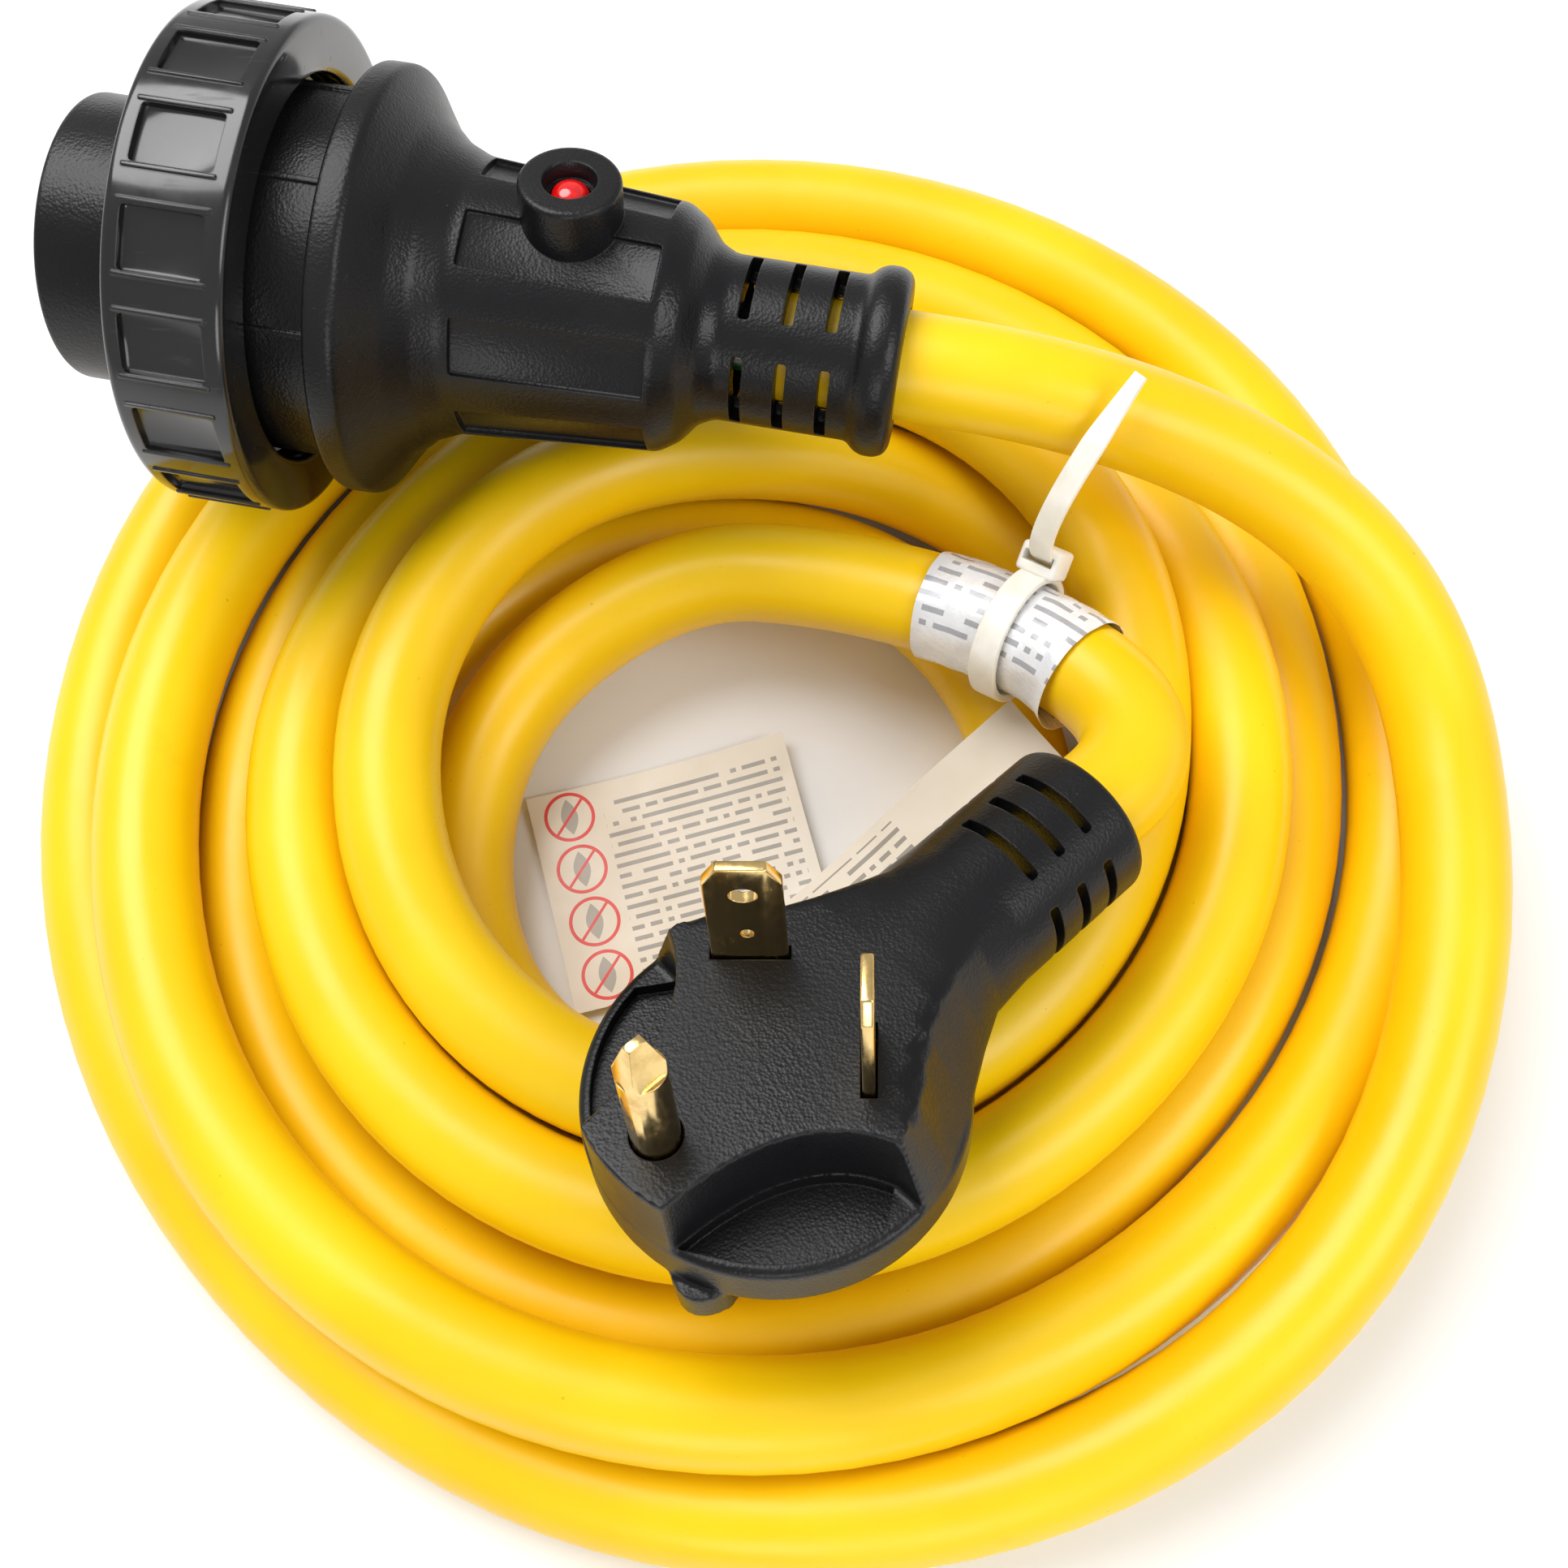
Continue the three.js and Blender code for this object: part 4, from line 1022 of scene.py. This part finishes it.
def flat_blade():
    """One blade on its own: chamfered tip, soft edges, an oval window and a pinhole."""
    half = BLADE_WIDTH / 2
    chamfer_x = half - 1.9
    chamfer_y = BLADE_LENGTH - 3
    outline = [(-half, -BLADE_ROOT), (half, -BLADE_ROOT), (half, chamfer_y), (chamfer_x, BLADE_LENGTH),
               (-chamfer_x, BLADE_LENGTH), (-half, chamfer_y)]
    blade = raised("blade", outline, -BLADE_THICKNESS / 2, BLADE_THICKNESS / 2)
    bevel = blade.modifiers.new("edges", "BEVEL")
    bevel.width = 0.28
    bevel.segments = 3
    applied(blade)
    window = revolve("window", [(-3, 0), (-3, 1), (3, 1), (3, 0)], 40)
    moved(window, shift(0, BLADE_LENGTH - 5.6, 0) @ Matrix.Diagonal((1.9, 1.5, 1, 1)) @ about("Y", 90))
    pinhole = moved(rod(-3, 3, 0.95, 32), shift(0, 6, 0) @ about("Y", 90))
    return combined(blade, [window, pinhole], "DIFFERENCE")


def add_blades(brass):
    thick = BLADE_THICKNESS / 2
    for name, (x, y) in BLADE_PLACES.items():
        blade = moved(flat_blade(), blade_place(name) @ about("X", 90))
        root = rounded_box(x - thick, x + thick, y - 3, y + 3, TERMINAL_Z, 0.3 - BLADE_ROOT, 0.2)
        cup, bore = wire_cup(x - thick, y)
        blade = combined(blade, [root, cup], "UNION")
        blade = combined(blade, [bore], "DIFFERENCE")
        keep_piece(blade, f"{name}_blade_metal", brass, PLUG, 35)
        stand_in(blade, "plug", f"{name}_blade")


def add_ground_pin(brass):
    """A round pin with a tip cut to four facets and a wire cup at its root."""
    outline = [(TERMINAL_Z, 0), (TERMINAL_Z, PIN_R), (PIN_LENGTH - 3, PIN_R), (PIN_LENGTH - 0.6, 2.0),
               (PIN_LENGTH, 0.9), (PIN_LENGTH, 0)]
    pin = moved(revolve("pin", softened(outline, 0.5, 3), 64), pin_frame())
    facets = []
    for turn in (0, 90, 180, 270):
        depth = 2.5 if turn % 180 else 1.9
        facet = rounded_box(-6, 6, 0, 6, -2, 9, 0.1)
        facet = moved(facet, shift(0, depth, 19) @ about("X", 16))
        facets.append(moved(facet, shift(PIN_X, 0, 0) @ about("Z", turn)))
    pin = combined(pin, facets, "DIFFERENCE")
    cup, bore = wire_cup(PIN_X + 1, 0)
    pin = combined(combined(pin, [cup], "UNION"), [bore], "DIFFERENCE")
    keep_piece(pin, "ground_pin_metal", brass, PLUG, 35)
    stand_in(pin, "plug", "ground_pin")


# ---------------- label, cable tie and tag


def add_label(film):
    """Film wrapped round the cord, wrinkled under the tie and flaring loose at the plug's end."""
    steps = 44
    sides = 72
    flare_from = 0.72
    points = [lead_out(LABEL_START + (LABEL_END - LABEL_START) * k / steps) for k in range(steps + 1)]
    rings = rings_along(points)
    length = rings[-1][3]

    def section(run):
        outline = []
        share = run / length
        pinch = math.exp(-((share - 0.5) / 0.12) ** 2)
        flare = max(0, share - flare_from) / (1 - flare_from)
        for k in range(sides):
            angle = 2 * math.pi * k / sides
            ripple = noise.noise(Vector((run * 0.35, 3 * math.cos(angle), 3 * math.sin(angle))))
            loose = max(0, math.cos(angle - 0.4)) * flare ** 2 * 1.5
            radius = LABEL_R + 0.28 * ripple - 0.12 * pinch + loose
            outline.append((radius * math.cos(angle), radius * math.sin(angle)))
        return outline

    sleeve = swept("sleeve", rings, section, capped=False)
    thick = sleeve.modifiers.new("film", "SOLIDIFY")
    thick.thickness = 0.12
    thick.offset = 1
    applied(sleeve)
    keep_piece(sleeve, "label_film", film, None, 60)
    stand_in(sleeve, "cord", "wrap_label")


def tie_frame():
    at = lead_out(TIE_PLACE)
    along = (lead_out(TIE_PLACE + 0.002) - at).normalized()
    up = (Vector((0, 0, 1)) - along * along.z).normalized()
    return frame_matrix(along, up.cross(along), up, at) @ about("X", TIE_ROLL)


def tie_tail():
    """The loose end of the tie: a flat strip along one bend, narrower towards its tip."""
    steps = 28
    start = Vector((0, 12.8, -1))
    bend = Vector((1, 13.5, 16))
    end = Vector((8, 44, 12))
    path = []
    for k in range(steps + 1):
        t = k / steps
        path.append(start * (1 - t) ** 2 + bend * 2 * t * (1 - t) + end * t * t)
    rings = []
    for i, here in enumerate(path):
        along = (path[min(i + 1, steps)] - path[max(i - 1, 0)]).normalized()
        side = Vector((1, 0, 0)) - along * along.x
        side.normalize()
        rings.append((here, side, along.cross(side), i / steps))

    def section(run):
        wide = 1.9 * (1 - 0.45 * max(0, run - 0.8) / 0.2)
        thin = 0.55
        corners = [(-wide, -thin), (wide, -thin), (wide, thin), (-wide, thin), (-wide, -thin)]
        return softened(corners, 0.3, 2)[:-1]

    return clean(swept("tail", rings, section))


def add_cable_tie(plastic):
    inner = 9.55
    outer = 10.8
    half = 2.3
    corners = [(-half, inner), (-half, outer), (half, outer), (half, inner), (-half, inner)]
    band = revolve("band", softened(corners, 0.35), 72)
    head = rounded_box(-3.4, 3.4, 10.2, 15.0, -2.6, 3.4, 0.7, 3)
    slot = rounded_box(-2.6, 2.6, 12, 13.7, -5, 5, 0.2)
    body = combined(band, [head], "UNION")
    body = combined(body, [slot], "DIFFERENCE")
    body = combined(body, [tie_tail()], "UNION")
    keep_piece(body, "tie_strap", plastic, tie_frame(), 40)
    stand_in(body, "cord", "cable_tie")


def spline_height(points, along):
    """The smooth height through (along, height) points."""
    last = len(points) - 1
    i = next((k for k in range(last) if along <= points[k + 1][0]), last - 1)
    share = (along - points[i][0]) / (points[i + 1][0] - points[i][0])
    return spline_between([height for _, height in points], i, share)


def add_tag(node, sheet, corner, azimuth, width, heights, curl):
    """One panel of the folded tag: a thin sheet from a corner, along an azimuth, with lifted corners."""
    name = f"{node}_sheet"
    length = heights[-1][0]
    columns, rows = 60, 26
    vertices = []
    places = []
    turn = math.radians(azimuth)
    along_axis = Vector((math.cos(turn), math.sin(turn), 0))
    right_axis = Vector((math.sin(turn), -math.cos(turn), 0))
    for i in range(columns + 1):
        for j in range(rows + 1):
            u = length * i / columns
            v = width * j / rows
            lift = curl * ((2 * i / columns - 1) ** 2 * (2 * j / rows - 1) ** 2)
            buckle = 0.25 * (1 + noise.noise(Vector((u * 0.06, v * 0.08, azimuth))))
            place = COIL_CENTRE + Vector((corner[0], corner[1], 0)) + along_axis * u + right_axis * v
            place.z += spline_height(heights, u) + 0.25 + lift + buckle
            vertices.append(place)
            places.append((u / UV_MM, v / UV_MM))
    faces = []
    for i in range(columns):
        for j in range(rows):
            a = i * (rows + 1) + j
            faces.append((a, a + 1, a + rows + 2, a + rows + 1))
    obj = new_object(name, vertices, faces)
    layer = obj.data.uv_layers.new(name="Along")
    for loop in obj.data.loops:
        layer.data[loop.index].uv = places[loop.vertex_index]
    thick = obj.modifiers.new("sheet", "SOLIDIFY")
    thick.thickness = 0.22
    applied(obj)
    keep_piece(obj, name, sheet, None, 60)
    stand_in(obj, "cord", node)


def add_tags():
    left = tag_sheet("tag_sheet_left", (12.5, 44.0, 3.0, 36.5), (6.6, 9.6, 4.1))
    right = tag_sheet("tag_sheet_right", (26.0, 64.0, 1.5, 15.5))
    left_heights = [(0, 0.8), (23, 1.2), (46, 2.6)]
    right_heights = [(0, 23), (17, 18), (32, 10), (50, 5), (66, 4.5)]
    add_tag("tag_left", left, corner=(-40.6, 0.9), azimuth=15, width=39, heights=left_heights, curl=1.2)
    add_tag("tag_right", right, corner=(52, -2), azimuth=219, width=17, heights=right_heights, curl=0.4)


# ---------------- carried-over parts, stage and camera


def repaint(name, material):
    """Gives a CAD part that stays in view its own node material."""
    for slot in frame["nodes"][name].material_slots:
        slot.material = material


def repaint_wires():
    """The three conductors, each in its colour along the cord and in both ends."""
    skins = {
        "hot": insulation("wire_black", colour(0.012, 0.012, 0.012), colour(0.025, 0.025, 0.025)),
        "neutral": insulation("wire_white", colour(0.68, 0.67, 0.63), colour(0.8, 0.79, 0.76)),
        "ground": insulation("wire_green", colour(0.008, 0.16, 0.04), colour(0.014, 0.24, 0.06)),
    }
    for kind, skin in skins.items():
        for end in ("cord", "connector", "plug"):
            repaint(f"{end}_wire_{kind}", skin)


def repaint_contacts(brass):
    for kind in ("hot", "neutral", "ground"):
        repaint(f"socket_contact_{kind}", brass)


def add_stage():
    half = FLOOR_HALF
    corners = [(-half, -half, 0), (half, -half, 0), (half, half, 0), (-half, half, 0)]
    floor = new_object("floor", corners, [(0, 1, 2, 3)])
    f = Finish("floor_white")
    tone = f.mixed(f.noise(3, 2), colour(0.9, 0.9, 0.9), colour(0.94, 0.94, 0.94))
    f.set(Base_Color=tone, Roughness=0.75)
    floor.data.materials.append(f.material)


def aim(obj, place, target):
    obj.location = place
    obj.rotation_euler = (target - place).to_track_quat("-Z", "Y").to_euler()


def add_area_light(name, place, size, power):
    """A round soft light that points at the object."""
    light = bpy.data.lights.new(name, "AREA")
    light.shape = "DISK"
    light.size = size
    light.energy = power
    aim(linked(name, light), Vector(place), Vector((0, 0, 0)))


def add_lights():
    world = bpy.data.worlds.new("studio")
    world.use_nodes = True
    world.node_tree.nodes["Background"].inputs["Color"].default_value = colour(1, 1, 1)
    world.node_tree.nodes["Background"].inputs["Strength"].default_value = WORLD_STRENGTH
    bpy.context.scene.world = world
    for name, light in LIGHTS.items():
        add_area_light(name, **light)
    bpy.context.scene.view_settings.view_transform = "Standard"


def add_camera():
    elevation = math.radians(CAMERA_ELEVATION)
    target = (COIL_CENTRE + CAMERA_AIM) * MM
    camera = bpy.data.cameras.new("camera")
    camera.lens = CAMERA_LENS
    camera.sensor_width = 36
    camera.clip_start = 0.01
    obj = linked("camera", camera)
    aim(obj, target + Vector((0, -math.cos(elevation), math.sin(elevation))) * CAMERA_DISTANCE, target)
    bpy.context.scene.camera = obj


moulding = moulded("moulding_black", colour(0.004, 0.004, 0.005), colour(0.008, 0.008, 0.009), 0.33)
insert_black = moulded("insert_black", colour(0.010, 0.010, 0.011), colour(0.017, 0.017, 0.018), 0.45)
seal_rubber = moulded("seal_rubber", colour(0.02, 0.02, 0.021), colour(0.03, 0.03, 0.031), 0.65, 0.02)
core_grey = moulded("core_grey", colour(0.22, 0.22, 0.2), colour(0.3, 0.3, 0.28), 0.5)
lamp_white = moulded("lamp_white", colour(0.55, 0.52, 0.45), colour(0.68, 0.65, 0.58), 0.35)
blade_brass = metal("blade_brass", colour(0.86, 0.62, 0.26), colour(0.5, 0.3, 0.08), 0.16)
contact_brass = metal("contact_brass", colour(0.75, 0.52, 0.22), colour(0.4, 0.24, 0.08), 0.28)

add_cord(cord_vinyl())
add_connector(moulding)
add_lens(lens_red())
add_coupling_ring(ring_gloss())
add_seal(seal_rubber)
add_plug(moulding)
add_blades(blade_brass)
add_ground_pin(blade_brass)
add_label(label_film())
add_cable_tie(nylon())
add_tags()

repaint("socket_insert", insert_black)
repaint("plug_core", core_grey)
repaint("indicator_lamp", lamp_white)
repaint_contacts(contact_brass)
repaint_wires()

add_stage()
add_lights()
add_camera()
